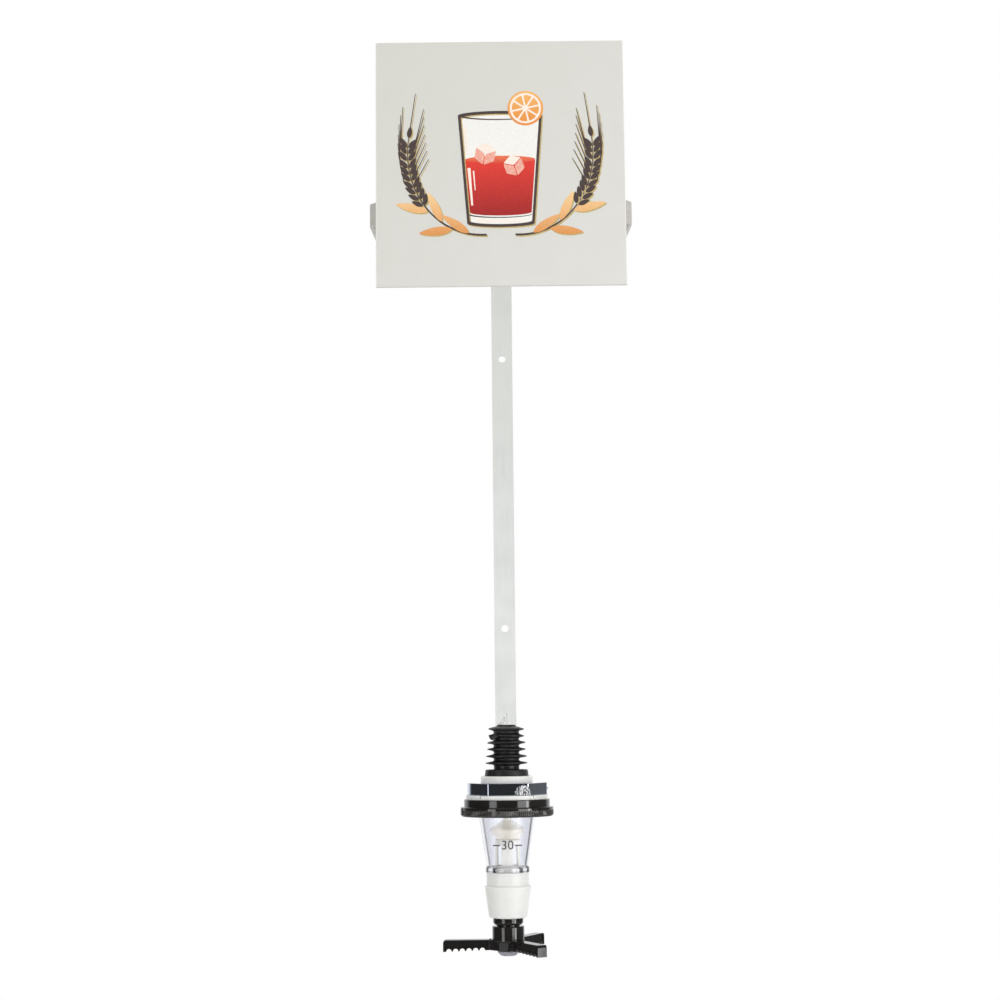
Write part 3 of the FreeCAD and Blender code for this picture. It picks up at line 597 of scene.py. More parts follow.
def addBlock(bm, turn, middle, size):  # a block that stands round the axis at an angle in degrees
    place = Matrix.Translation((0, axisLine, 0)) @ Matrix.Rotation(math.radians(turn), 4, "Z")
    shape = Matrix.Translation(middle) @ Matrix.Diagonal((*size, 1))
    bmesh.ops.create_cube(bm, size=1.0, matrix=place @ shape)


# turns a closed outline of (radius, height) corners about the axis; a third number rounds a corner
def turned(outline, steps=roundSteps):
    bm = bmesh.new()
    dots = [bm.verts.new((corner[0], axisLine, corner[1])) for corner in outline]
    for i, dot in enumerate(dots):
        if dot.co.x > 0 or dots[i - 1].co.x > 0:
            bm.edges.new((dots[i - 1], dot))
    for size in sorted({corner[2] for corner in outline if len(corner) > 2}):
        chosen = [dots[i] for i, corner in enumerate(outline) if len(corner) > 2 and corner[2] == size]
        bevel(bm, chosen, size, 4, "VERTICES")
    bmesh.ops.spin(bm, geom=bm.verts[:] + bm.edges[:], cent=(0, axisLine, 0), axis=(0, 0, 1), dvec=(0, 0, 0),
                   angle=math.tau, steps=steps, use_merge=True)
    bmesh.ops.remove_doubles(bm, verts=bm.verts, dist=sameSpot)
    bmesh.ops.recalc_face_normals(bm, faces=bm.faces)
    return bm


def softened(node, width, segments=2, corner=28.0):  # a CAD node whose sharp edges are broken
    bm = bmesh.new()
    bm.from_mesh(frame["nodes"][node].data)
    bmesh.ops.scale(bm, vec=(1 / mm, 1 / mm, 1 / mm), verts=bm.verts)
    bmesh.ops.remove_doubles(bm, verts=bm.verts, dist=sameSpot)
    bmesh.ops.dissolve_limit(bm, angle_limit=math.radians(0.5), verts=bm.verts, edges=bm.edges, delimit=set())
    edges = [edge for edge in bm.edges if abs(edge.calc_face_angle_signed(0.0)) > math.radians(corner)]
    bevel(bm, edges, width, segments)
    return bm


def joined(first, second):  # adds the second mesh to the first
    part = bpy.data.meshes.new("part")
    second.to_mesh(part)
    second.free()
    first.from_mesh(part)
    bpy.data.meshes.remove(part)
    return first


def arc(x, z, across, up, start, end, steps=24):  # points on part of an ellipse, angles in degrees
    turns = [math.radians(start + (end - start) * i / steps) for i in range(steps + 1)]
    return [(x + across * math.cos(turn), z + up * math.sin(turn)) for turn in turns]


def heading(angle):
    return Vector((math.cos(angle), 0, math.sin(angle)))


strip = {"edge": 0.4, "segments": 3}  # rolled edges of the flat bar
addPiece("stripBar", softened("wall_strip", strip["edge"], strip["segments"]), stripMetal, ["wall_strip"])
fork = {
    "radius": 29.0,
    "slot": 18.7,
    "tongue": 11.0,  # half its width
    "tongueEnd": -25.0,
    "arcSteps": 48,
    "slotSteps": 72,
    "tipRounding": 1.2,
    "tongueRounding": 4.0,
    "edge": 0.25,
    "roll": 0.3,  # the rolled edge is made in two steps, of this share and the rest
}


def forkPlate():  # a round plate with a slot open to the front and a tongue behind
    low, high = span("optic_fork")[:2]
    slot, tongue, radius, edge = (fork[key] for key in ("slot", "tongue", "radius", "edge"))
    steps = fork["arcSteps"]
    tip = math.degrees(math.acos(slot / radius))
    side = math.degrees(math.acos(tongue / radius))
    behind = fork["tongueEnd"] - axisLine
    points = arc(0, 0, radius, radius, -tip, side, steps) + [(tongue, behind), (-tongue, behind)]
    points += arc(0, 0, radius, radius, 180 - side, 180 + tip, steps)
    tongueCorners, tips = (steps + 1, steps + 2), (0, len(points) - 1)
    points += arc(0, 0, slot, slot, 180, 0, fork["slotSteps"])
    bm = bmesh.new()
    bm.faces.new([bm.verts.new((x, axisLine + y, low + edge)) for x, y in points])
    outer = bm.verts[:]
    for corners, rounding in ((tips, fork["tipRounding"]), (tongueCorners, fork["tongueRounding"])):
        bevel(bm, [outer[i] for i in corners], rounding, 4, "VERTICES")
    thicken(bm, (0, 0, high - low - 2 * edge))
    for share in (fork["roll"], 1 - fork["roll"]):
        flats = [face for face in bm.faces if len(face.verts) > 8]
        bmesh.ops.inset_individual(bm, faces=flats, thickness=share * edge, depth=(1 - share) * edge,
                                   use_even_offset=True)
    return bm


addPiece("forkPlate", forkPlate(), stripMetal, ["optic_fork"])
hoop = {"edge": 0.35, "segments": 3}
addPiece("hoopBand", softened("bottle_hoop", hoop["edge"], hoop["segments"]), shadedHoopMetal, ["bottle_hoop"])
tape = {"edge": 0.15}
addPiece("tapePads", softened("sign_tape_pads", tape["edge"]), mats["foam_tape"], ["sign_tape_pads"])
print("bracket bars ready")

rivets = {"shank": 2.0, "head": 3.5, "dome": 1.4, "domeSteps": 6, "steps": 48}


def rivetShape(low, high, domes):  # an upright rivet on the z axis; domes names the ends that have a head
    ball = (rivets["head"] ** 2 + rivets["dome"] ** 2) / (2 * rivets["dome"])
    sweep = math.asin(rivets["head"] / ball)

    def dome(seat, up):
        turns = [sweep * (1 - i / rivets["domeSteps"]) for i in range(rivets["domeSteps"] + 1)]
        return [(ball * math.sin(t), seat + up * (ball * math.cos(t) - ball + rivets["dome"])) for t in turns]

    top = high - rivets["dome"] if "top" in domes else high
    bottom = low + rivets["dome"] if "bottom" in domes else low
    outline = dome(bottom, -1)[::-1] if "bottom" in domes else [(0, low)]
    outline += [(rivets["shank"], bottom), (rivets["shank"], top)]
    outline += dome(top, 1) if "top" in domes else [(0, high)]
    bm = turned(outline, rivets["steps"])
    bmesh.ops.translate(bm, verts=bm.verts, vec=(0, -axisLine, 0))
    return bm


def addRivets():
    low, high = (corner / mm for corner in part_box("hoop_rivets"))
    middle = (low.z + high.z) / 2
    pair = bmesh.new()
    for x in (low.x + rivets["head"], high.x - rivets["head"]):
        one = rivetShape(0, -low.y, ["top"])
        lying = Matrix.Translation((x, 0, middle)) @ Matrix.Rotation(math.radians(90), 4, "X")
        bmesh.ops.transform(one, matrix=lying, verts=one.verts)
        joined(pair, one)
    addPiece("hoopRivetPair", pair, mats["rivet_aluminium"], ["hoop_rivets"])
    low, high = (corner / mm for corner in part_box("fork_rivets"))
    pair = bmesh.new()
    for y in (low.y + rivets["head"], high.y - rivets["head"]):
        one = rivetShape(low.z, high.z, ["top", "bottom"])
        bmesh.ops.translate(one, verts=one.verts, vec=(0, y, 0))
        joined(pair, one)
    addPiece("forkRivetPair", pair, mats["rivet_aluminium"], ["fork_rivets"])


addRivets()

sign = {
    "edge": 0.4,
    "printRoom": 0.15,  # the ink lies in this depth, so the print ends level with the CAD face
    "layer": 0.02,  # one pass of ink
}
signLow, signHigh = (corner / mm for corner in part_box("sign_panel"))
signFace = signLow.y + sign["printRoom"]


def addSignPanel():
    bm = bmesh.new()
    bmesh.ops.create_cube(bm, size=1.0)
    size = signHigh - signLow
    bmesh.ops.scale(bm, vec=(size.x, signHigh.y - signFace, size.z), verts=bm.verts)
    middle = (signLow + signHigh) / 2
    bmesh.ops.translate(bm, verts=bm.verts, vec=(middle.x, (signHigh.y + signFace) / 2, middle.z))
    front = [edge for edge in bm.edges if all(vert.co.y < signFace + 0.1 for vert in edge.verts)]
    bevel(bm, front, sign["edge"])
    addPiece("signBoardPanel", bm, mats["sign_board"], ["sign_panel"])


addSignPanel()

art = {
    "middle": 216.0,  # height of the picture's middle
    "stalk": ((10, -56), (45, -58), (70, -24), (64, 14)),  # barley stalk: knot, two handles, knot
    "stalkWidth": 1.5,
    "stalkSteps": 160,
    "grains": 10,  # on each side of an ear
    "grain": (4.3, 1.75),  # half length and half width
    "grainPitch": 4.9,
    "grainLean": 36.0,  # degrees away from the ear
    "grainAside": 3.3,
    "awns": 7,
    "awn": 23.0,
    "awnWidth": 0.7,
    "leaf": (11.5, 3.0),
    "leaves": ((18, 1, 24.0), (38, -1, 32.0), (53, 1, 30.0), (73, -1, 36.0)),  # step on the stalk, side, lean
    "shadow": (0.9, -0.9),  # the gold ink is printed this far to the side
    "glass": {  # half widths, heights, the width of its line
        "top": 29.5, "bottom": 23.5, "low": -48.0, "tall": 78.0, "base": 8.0, "fill": 46.0, "line": 1.9,
    },
    "ellipse": 0.11,  # height of the glass's rings for their width
    "ice": ((-10.5, 2.0, 8.4, -11.0), (9.5, -6.5, 8.0, 19.0)),  # x, height, size, turn in degrees
    "shine": ((4.6, 13.0, 40.0, 2.2), (7.6, 24.0, 38.0, 1.1), (4.2, 50.0, 70.0, 1.8)),  # inset, ends, width
    "slice": (18.0, 35.0, 12.5),  # citrus slice on the rim: x, height, radius
    "wedges": 8,
    "wedgeTurn": 12.0,
    "wedgeGap": 4.0,  # degrees at each side
}
glass = art["glass"]
glassFoot = art["middle"] + glass["low"]


def flatShape(bm, corners, rounding=0.0):  # a filled outline in the sign's plane
    dots = [bm.verts.new((x, 0, z)) for x, z in corners]
    face = bm.faces.new(dots)
    if rounding:
        bevel(bm, dots, rounding, 3, "VERTICES")
    return face


def ringShape(bm, outer, inner):  # a line of ink between two outlines
    edges = []
    for corners in (outer, inner):
        dots = [bm.verts.new((x, 0, z)) for x, z in corners]
        edges += [bm.edges.new((dots[i - 1], dots[i])) for i in range(len(dots))]
    bmesh.ops.bridge_loops(bm, edges=edges)


def addGrain(bm, middle, lean, length, width):  # a pointed oval, narrower at its tip
    made = bmesh.ops.create_circle(bm, cap_ends=True, segments=20, radius=1.0)["verts"]
    for vert in made:
        vert.co.y *= abs(vert.co.y) ** 0.5 * (1.0 - 0.25 * vert.co.x)
    turn = Matrix.Rotation(-lean, 4, "Y") @ Matrix.Rotation(math.radians(90), 4, "X")
    place = Matrix.Translation(middle) @ turn
    bmesh.ops.transform(bm, matrix=place @ Matrix.Diagonal((length, width, 1, 1)), verts=made)


def stalkPath(side):
    ends = [Vector((side * x, 0, z + art["middle"])) for x, z in art["stalk"]]
    return geometry.interpolate_bezier(ends[0], ends[1], ends[2], ends[3], art["stalkSteps"])


def addStroke(bm, path, width):  # a ribbon of ink along a path, drawn out edge by edge, thinner at its end
    def across(i):
        run = (path[min(i + 1, len(path) - 1)] - path[max(i - 1, 0)]).normalized()
        return Vector((-run.z, 0, run.x)) * (width / 2) * (1 - 0.6 * i / len(path))

    start = [bm.verts.new(path[0] + across(0)), bm.verts.new(path[0] - across(0))]
    edge = bm.edges.new(start)
    for i in range(1, len(path)):
        grown = newVerts(bmesh.ops.extrude_edge_only(bm, edges=[edge]))
        grown.sort(key=lambda vert: (vert.co - start[0].co).length)
        grown[0].co = path[i] + across(i)
        grown[1].co = path[i] - across(i)
        start = grown
        edge = bm.edges.get(grown)


def grainPlaces(side):  # middle, lean, side of the ear and number of each grain, from the ear's top down
    path = stalkPath(side)
    places = []
    gone = 0.0
    step = len(path) - 1
    for i in range(art["grains"]):
        while gone < art["grainPitch"] * (i + 0.6):
            gone += (path[step] - path[step - 1]).length
            step -= 1
        run = (path[step + 1] - path[step]).normalized()
        lean = math.atan2(run.z, run.x)
        for spread in (-1, 1):
            aside = Vector((-run.z, 0, run.x)) * spread * art["grainAside"] - Vector((0, 0.003 * i, 0))
            places.append((path[step] + aside, lean + spread * math.radians(art["grainLean"]), spread, i))
    run = (path[-1] - path[-3]).normalized()
    return path[-1] + run * art["grain"][0], math.atan2(run.z, run.x), places


def drawEar(bm, side):
    top, lean, places = grainPlaces(side)
    addGrain(bm, top, lean, *art["grain"])
    for place in places:
        addGrain(bm, *place[:2], *art["grain"])


def drawStalk(bm, side):
    addStroke(bm, stalkPath(side), art["stalkWidth"])
    top, lean, places = grainPlaces(side)
    tip = top + heading(lean) * art["grain"][0] * 0.8
    addStroke(bm, [tip, tip + heading(lean) * 12, tip + heading(lean) * 25], art["awnWidth"])
    for middle, turn, spread, i in places:
        if i < art["awns"]:
            start = middle + heading(turn) * art["grain"][0] * 0.8
            away = heading(lean + spread * math.radians(5 + 2.6 * i)) * (art["awn"] - 1.4 * i)
            addStroke(bm, [start, start + away / 2, start + away], art["awnWidth"])


def drawLeaves(bm, side):
    path = stalkPath(side)
    for i, spread, angle in art["leaves"]:
        run = path[i + 1] - path[i]
        lean = math.atan2(run.z, run.x) + side * spread * math.radians(angle)
        addGrain(bm, path[i] + heading(lean) * (art["leaf"][0] + 1.2), lean, *art["leaf"])


def glassHalf(rise):  # half width of the tapered glass at a height above its foot
    return glass["bottom"] + (glass["top"] - glass["bottom"]) * rise / glass["tall"]


def vessel(low, high, inset, topSide):  # its outline; topSide -1 dips like a drink's near edge
    lowHalf, highHalf = glassHalf(low) - inset, glassHalf(high) - inset
    start = 0 if topSide > 0 else 360
    return (arc(0, glassFoot + low, lowHalf, lowHalf * art["ellipse"], 180, 360)
            + arc(0, glassFoot + high, highHalf, highHalf * art["ellipse"], start, 180))


def addLine(bm, points, width):  # a stroke through (x, z) points
    addStroke(bm, [Vector((x, 0, z)) for x, z in points], width)


def drawGlass(bm):  # the glass's outer line
    line = glass["line"]
    ringShape(bm, vessel(0, glass["tall"], 0, 1), vessel(line, glass["tall"] - line, line, 1))


def drawRim(bm):  # the near edge of the rim and the drink's bed in the heavy base
    for height, width in ((glass["tall"], 1.1), (glass["base"] - 1.3, 0.9)):
        half = glassHalf(height) - glass["line"] - 0.2
        addLine(bm, arc(0, glassFoot + height, half, half * art["ellipse"], 186, 354), width)


def drawGlassBody(bm):
    flatShape(bm, vessel(0, glass["tall"], 0.6, 1))


def drawDrink(bm):
    flatShape(bm, vessel(glass["base"], glass["fill"], glass["line"] + 0.7, -1))


def drawDrinkTop(bm):
    half = glassHalf(glass["fill"]) - glass["line"] - 0.7
    flatShape(bm, arc(0, glassFoot + glass["fill"], half, half * art["ellipse"], 0, 345, 46))


def drawShine(bm):  # light down the glass's left side and through its base
    for inset, low, high, width in art["shine"]:
        ends = [Vector((-glassHalf(rise) + inset, 0, glassFoot + rise)) for rise in (high, low)]
        addStroke(bm, [ends[0], (ends[0] + ends[1]) / 2, ends[1]], width)
    addLine(bm, arc(0, glassFoot + 3.2, glass["bottom"] - 6, 1.6, 200, 340), 1.6)


def drawIce(bm, faces):  # the chosen faces of each cube: 0 is its top, 1 and 2 its sides
    for x, z, size, turn in art["ice"]:
        for i in faces:
            spread = [math.radians(turn + 30 + 120 * i + 60 * k) for k in range(3)]
            corners = [Vector((0, 0))] + [heading(angle).xz for angle in spread]
            middle = sum(corners, Vector((0, 0))) / 4
            shrunk = [middle + 0.92 * (corner - middle) for corner in corners]
            flatShape(bm, [(x + size * c, z + art["middle"] + size * d) for c, d in shrunk], 0.9)


def drawSlice(bm, shrink):
    x, z, radius = art["slice"]
    flatShape(bm, arc(x, z + art["middle"], radius - shrink, radius - shrink, 0, 352.5, 47))


def drawWedges(bm):
    x, z, radius = art["slice"]
    middle = Vector((x, z + art["middle"]))
    pitch, gap = 360 / art["wedges"], art["wedgeGap"]
    for i in range(art["wedges"]):
        first = i * pitch + art["wedgeTurn"]
        turns = [heading(math.radians(first + away)).xz for away in (gap, pitch / 2, pitch - gap)]
        flatShape(bm, [middle + 1.6 * turns[1]] + [middle + (radius - 2.9) * turn for turn in turns], 0.7)


def addPrint(name, ink, layer, drawings, shift=(0, 0)):  # each drawing is a function and its arguments
    bm = bmesh.new()
    for draw, arguments in drawings:
        draw(bm, *arguments)
    bmesh.ops.translate(bm, verts=bm.verts, vec=(shift[0], signFace, shift[1]))
    for face in bm.faces:
        face.normal_update()
        if face.normal.y > 0:
            face.normal_flip()
    thicken(bm, (0, -sign["layer"] * (layer + 1), 0))
    addPiece(name, bm, inks[ink], ["sign_panel"], hide=False)


ears = [(drawEar, (side,)) for side in (-1, 1)]
stalks = [(drawStalk, (side,)) for side in (-1, 1)]
leaves = [(drawLeaves, (side,)) for side in (-1, 1)]
addPrint("signInkGlassBody", "glass", 0, [(drawGlassBody, ())])
addPrint("signInkStalkShade", "gold", 0, stalks, art["shadow"])
addPrint("signInkShade", "gold", 1, ears + leaves + [(drawGlass, ())], art["shadow"])
addPrint("signInkStalks", "brown", 2, stalks)
addPrint("signInkDrink", "red", 2, [(drawDrink, ())])
addPrint("signInkLeaves", "amber", 2.5, leaves)
addPrint("signInkOutline", "brown", 3, ears + [(drawGlass, ())])
addPrint("signInkDrinkTop", "coral", 3, [(drawDrinkTop, ())])
addPrint("signInkRim", "brown", 4, [(drawRim, ())])
addPrint("signInkIceTop", "pale", 4, [(drawIce, ((0,),))])
addPrint("signInkIceSides", "frost", 4, [(drawIce, ((1, 2),))])
addPrint("signInkShine", "pale", 5, [(drawShine, ())])
addPrint("signInkRind", "orange", 5, [(drawSlice, (0.0,))])
addPrint("signInkPith", "pale", 6, [(drawSlice, (1.5,))])
addPrint("signInkWedges", "orange", 6.5, [(drawWedges, ())])
print("sign ready")

cork = {
    "baseHeight": 4.6,
    "core": 9.1,
    "lip": 6.6,
    "bore": 5.2,
    "ribs": (12.7, 12.7, 13.6, 13.7, 14.5, 14.85),
    "firstRib": 2.9,  # below the top
    "pitch": 4.8,
    "root": 1.4,  # half thickness of a rib at the core
    "tip": 0.4,
    "wave": 0.616,  # how far a rib's edge wanders up and down for one unit of noise
    "flap": {"rib": 1, "turn": -143.0, "half": 24.0, "drop": 2.7},  # a torn piece of a rib hangs down here
}


def addCork():
    low, top, radius = span("bottle_cork")
    base = low + cork["baseHeight"]
    outline = [(cork["bore"], top), (cork["lip"], top, 0.4)]
    outline.append((cork["lip"] + 0.4, top - cork["firstRib"] + 2.0))
    for i, reach in enumerate(cork["ribs"]):
        height = top - cork["firstRib"] - i * cork["pitch"]
        if i:
            outline.append((cork["core"], height + cork["root"], 0.9))
        outline += [(reach, height + cork["tip"], 0.3), (reach, height - cork["tip"], 0.3)]
        outline.append((cork["core"], height - cork["root"], 0.9))
    outline += [(cork["core"], base - 0.2, 0.9), (radius - 0.6, base, 0.9)]
    bm = turned(outline + [(radius, low), (cork["bore"], low)])
    for vert in bm.verts:
        across = inPlan(vert.co)
        rib = round((top - cork["firstRib"] - vert.co.z) / cork["pitch"])
        if 0 <= rib < len(cork["ribs"]) and vert.co.z > base + 0.5:
            out = max(0.0, (across.length - cork["core"]) / (cork["ribs"][rib] - cork["core"]))
            turn = math.atan2(across.y, across.x)
            wander = noise.noise(Vector((math.cos(turn) * 1.3, math.sin(turn) * 1.3, rib * 5.7)))
            vert.co.z += cork["wave"] * wander * out
            flap = cork["flap"]
            near = abs(math.degrees(turn) - flap["turn"]) / flap["half"]
            if rib == flap["rib"] and near < 1:
                vert.co.z -= flap["drop"] * (1 - near ** 2) * out
    addPiece("corkStopper", bm, mats["black_rubber"], ["bottle_cork"], sharp=40)


addCork()

breather = {"bore": 1.8, "offset": -1.4, "cut": 5.0}  # the top is cut slanting, by this much


def addBreather():
    low, top, radius = span("breather_tube")
    bore = breather["bore"]
    bm = turned([(bore, low), (radius, low), (radius, top, 0.1), (bore, top, 0.1)], 48)
    for vert in bm.verts:
        if vert.co.z > top - 1:
            vert.co.z -= breather["cut"] * (radius - vert.co.x) / (2 * radius)
    bmesh.ops.translate(bm, verts=bm.verts, vec=(breather["offset"], 0, 0))
    softPipe = clearStyrene("clearPvcPipe", "F1F2EF", 0.14, 1.3)
    addPiece("breatherPipe", bm, softPipe, ["breather_tube"])


addBreather()

head = {
    "tubeRadius": 5.2,
    "tubeBore": 4.1,
    "rimRadius": 6.0,
    "shankRadius": 18.5,
    "threadPitch": 1.5,
    "threadDepth": 0.15,
    "flangeThick": 5.4,
    "pocketRise": 3.4,  # the pocket's floor above the flange's underside
    "nozzleRadius": 9.5,
    "throat": 7.0,
    "throatTop": -219.2,
    "pocketRadius": 15.2,
    "ribs": 6,
    "ribThick": 1.6,
    "keyInside": 17.0,  # the key that fills the fork's slot starts inside the shank's wall
    "keyStep": 0.1,
    "keyEdge": 0.15,
}


def headKey(radius, low, high):
    bm = bmesh.new()
    for reach in (radius, head["keyInside"]):
        bmesh.ops.create_circle(bm, segments=192, radius=reach, matrix=Matrix.Translation((0, axisLine, low)))
    bmesh.ops.bridge_loops(bm, edges=bm.edges[:])
    half = head["shankRadius"]
    for spot, side in (((half, 0, 0), (1, 0, 0)), ((-half, 0, 0), (-1, 0, 0)), ((0, axisLine, 0), (0, 1, 0))):
        everything = bm.verts[:] + bm.edges[:] + bm.faces[:]
        bmesh.ops.bisect_plane(bm, geom=everything, dist=sameSpot, plane_co=spot, plane_no=side,
                               clear_outer=True)
    thicken(bm, (0, 0, high - low))
    bevel(bm, sharpEdges(bm, 69), head["keyEdge"], 1)
    return bm


def addHeadBody():
    low, top, flangeRadius = span("head_body")
    forkLow, forkTop = span("optic_fork")[:2]
    shankTop, corkTop = span("bottle_cork")[:2]
    flangeLow = forkLow - head["flangeThick"]
    pocketLow = flangeLow + head["pocketRise"]
    shank, nozzle = head["shankRadius"], head["nozzleRadius"]
    rows = int((shankTop - 1.2 - forkLow) / 0.2)
    outline = [(head["tubeBore"], top), (head["rimRadius"], top, 0.4), (head["rimRadius"], corkTop)]
    outline += [(head["tubeRadius"], corkTop), (head["tubeRadius"], shankTop - 1.0)]
    outline += [(nozzle - 0.8, shankTop - 1.5), (nozzle - 0.8, pocketLow)]
    outline += [(head["pocketRadius"], pocketLow), (head["pocketRadius"], shankTop, 0.2)]
    outline += [(shank - 0.7, shankTop, 0.2), (shank, shankTop - 0.7, 0.3)]
    outline += [(shank, shankTop - 1.2 - 0.2 * i) for i in range(rows)]
    outline += [(shank, forkLow), (flangeRadius, forkLow, 0.2), (flangeRadius, flangeLow, 0.3)]
    outline += [(nozzle, flangeLow), (nozzle, low, 1.0), (head["throat"], low, 0.4)]
    outline += [(head["throat"], head["throatTop"]), (head["tubeBore"], head["throatTop"] + 3)]
    bm = turned(outline)
    for vert in bm.verts:
        across = inPlan(vert.co)
        if abs(across.length - shank) < 0.05 and forkLow + 0.3 < vert.co.z < shankTop - 1.1:
            phase = (vert.co.z / head["threadPitch"] - math.atan2(across.y, across.x) / math.tau) % 1.0
            moveOut(vert, -head["threadDepth"] * abs(2 * phase - 1))
    inner, outer = nozzle - 1.0, head["pocketRadius"] + 0.2
    for i in range(head["ribs"]):
        addBlock(bm, 360 / head["ribs"] * i, ((inner + outer) / 2, 0, (pocketLow + shankTop) / 2 - 0.2),
                 (outer - inner, head["ribThick"], shankTop - pocketLow))
    joined(bm, headKey(flangeRadius, forkLow - 0.2, forkTop - head["keyStep"]))
    addPiece("measureBody", bm, mats["white_plastic"], ["head_body"], sharp=35)


addHeadBody()


def hexCorner(flats):  # from the middle to a corner
    return flats / 2 / math.cos(math.pi / 6)


def wearCorner(bm, flats, turn, reach, depth):  # rubs the left corner back along its front flat
    along, outward, corner = (heading(math.radians(turn + away)).xz for away in (300, 210, 180))
    for vert in bm.verts:
        fromCorner = inPlan(vert.co) - corner * hexCorner(flats)
        run = fromCorner.dot(along)
        if abs(fromCorner.dot(outward)) < 0.01 and run < reach:
            back = outward * depth * (1 - run / reach) ** 2
            vert.co.x -= back.x
            vert.co.y -= back.y


def hexRing(size, low, high, turn=0.0, worn=None):
    bm = bmesh.new()
    place = Matrix.Translation((0, axisLine, low)) @ Matrix.Rotation(math.radians(turn - 90), 4, "Z")
    bmesh.ops.create_circle(bm, segments=6, radius=hexCorner(size["flats"]), matrix=place)
    bmesh.ops.subdivide_edges(bm, edges=bm.edges[:], cuts=15)
    bmesh.ops.create_circle(bm, segments=96, radius=size["bore"], matrix=place)
    bmesh.ops.bridge_loops(bm, edges=bm.edges[:])
    thicken(bm, (0, 0, high - low))
    if worn:
        wearCorner(bm, size["flats"], turn, *worn)

    def leaning(edge):
        return abs(edge.verts[0].co.z - edge.verts[1].co.z)

    bevel(bm, [edge for edge in sharpEdges(bm, 40) if leaning(edge) > 1], size["corner"], 4)
    bevel(bm, [edge for edge in sharpEdges(bm, 69) if leaning(edge) < 0.01], size["edge"])
    return bm


def addNut():
    low, top = span("hex_nut")[:2]
    bm = hexRing(nut, low, top, nut["turn"], nut["worn"])
    gate = bmesh.new()
    bmesh.ops.create_uvsphere(gate, u_segments=24, v_segments=12, radius=nut["gate"])
    spot = heading(math.radians(nut["turn"])).xz * (hexCorner(nut["flats"]) - 0.2)
    bmesh.ops.translate(gate, verts=gate.verts, vec=(spot.x, axisLine + spot.y, (low + top) / 2))
    addPiece("clampNut", joined(bm, gate), mats["chromed_plastic"], ["hex_nut"])


addNut()
print("cork, body and nut ready")

collar = {
    "radius": 30.55,
    "knurl": 33.05,
    "bore": 29.0,
    "flangeHeight": 6.6,
    "tickTop": 2.0,  # below the flange's top
    "tickLow": 1.2,  # above its bottom
    "ticks": 144,
    "tickDepth": 0.26,
    "tickFoot": 1.35,  # how far in from the flange's face a ridge begins underneath
    "lugs": 6,
    "lugFirst": -105.0,  # degrees
    "lugHalf": 2.6,
    "lugProud": 0.45,
    "rimLow": -240.0,
    "lip": 20.8,
}


def addCollar():
    low, top = span("lock_collar")[:2]
    knurl, lugPitch = collar["knurl"], 360 / collar["lugs"]
    flangeTop = low + collar["flangeHeight"]
    tickTop = flangeTop - collar["tickTop"]
    tickLow = low + collar["tickLow"]
    step = 360.0 / (3 * collar["ticks"])
    outline = [
        (collar["bore"], top), (collar["radius"], top, 0.6), (collar["radius"], flangeTop, 0.25),
        (knurl, flangeTop, 0.6), (knurl, tickTop), (knurl, tickTop - 0.5), (knurl, tickLow),
        (knurl - 0.9, low, 0.3), (collar["lip"], low, 0.5), (collar["lip"], collar["rimLow"]),
        (collar["bore"], collar["rimLow"]),
    ]
    bm = turned(outline, 3 * collar["ticks"])

    def polar(spot):  # radius, angle from the first lug, and from the nearest one
        across = inPlan(spot)
        turn = math.degrees(math.atan2(across.y, across.x)) - collar["lugFirst"]
        return across.length, turn, abs((turn + lugPitch / 2) % lugPitch - lugPitch / 2)

    lugFaces = []
    for face in bm.faces:
        middle = face.calc_center_median()
        radius, turn, fromLug = polar(middle)
        level = tickLow - 0.1 < middle.z < flangeTop - 0.5
        if level and radius > knurl - 0.05 and fromLug < collar["lugHalf"]:
            lugFaces.append(face)
    for vert in bm.verts:  # one column of corners in three is pressed in between the ridges
        radius, turn, fromLug = polar(vert.co)
        inRow = vert.co.z < tickTop - 0.2 and radius > knurl - collar["tickFoot"]
        if inRow and round(turn / step) % 3 == 0 and fromLug > collar["lugHalf"] + step:
            moveOut(vert, -collar["tickDepth"])
    grown = newVerts(bmesh.ops.extrude_face_region(bm, geom=lugFaces))
    bmesh.ops.delete(bm, geom=lugFaces, context="FACES")
    for vert in grown:
        moveOut(vert, collar["lugProud"])
    bmesh.ops.recalc_face_normals(bm, faces=bm.faces)
    # painted highlight on the flange's ridge tops, between these radii and heights
    ridgeHighlightMaterial = blackAbs("rubbedAbs", (knurl - 0.2, knurl - 0.04, low + 0.8, tickTop))
    addPiece("screwCollar", bm, ridgeHighlightMaterial, ["lock_collar"], sharp=24)


addCollar()

chamber = {
    "rimThick": 3.3, "topRadius": 20.1, "lowRadius": 14.7, "topBore": 17.4, "lowBore": 12.2,
    "footHeight": 3.9, "footRadius": 15.4, "floorThick": 3.5, "hole": 8.75,
    "slack": 0.03,  # clear plastic keeps this far from its neighbours
}
collarLow = span("lock_collar")[0]
footTop = span("measure_chamber")[0] + chamber["footHeight"]
wallRise = (chamber["topRadius"] - chamber["lowRadius"]) / (collarLow - footTop)


def wallRadius(height):  # outside of the conical wall
    return chamber["topRadius"] + (height - collarLow) * wallRise


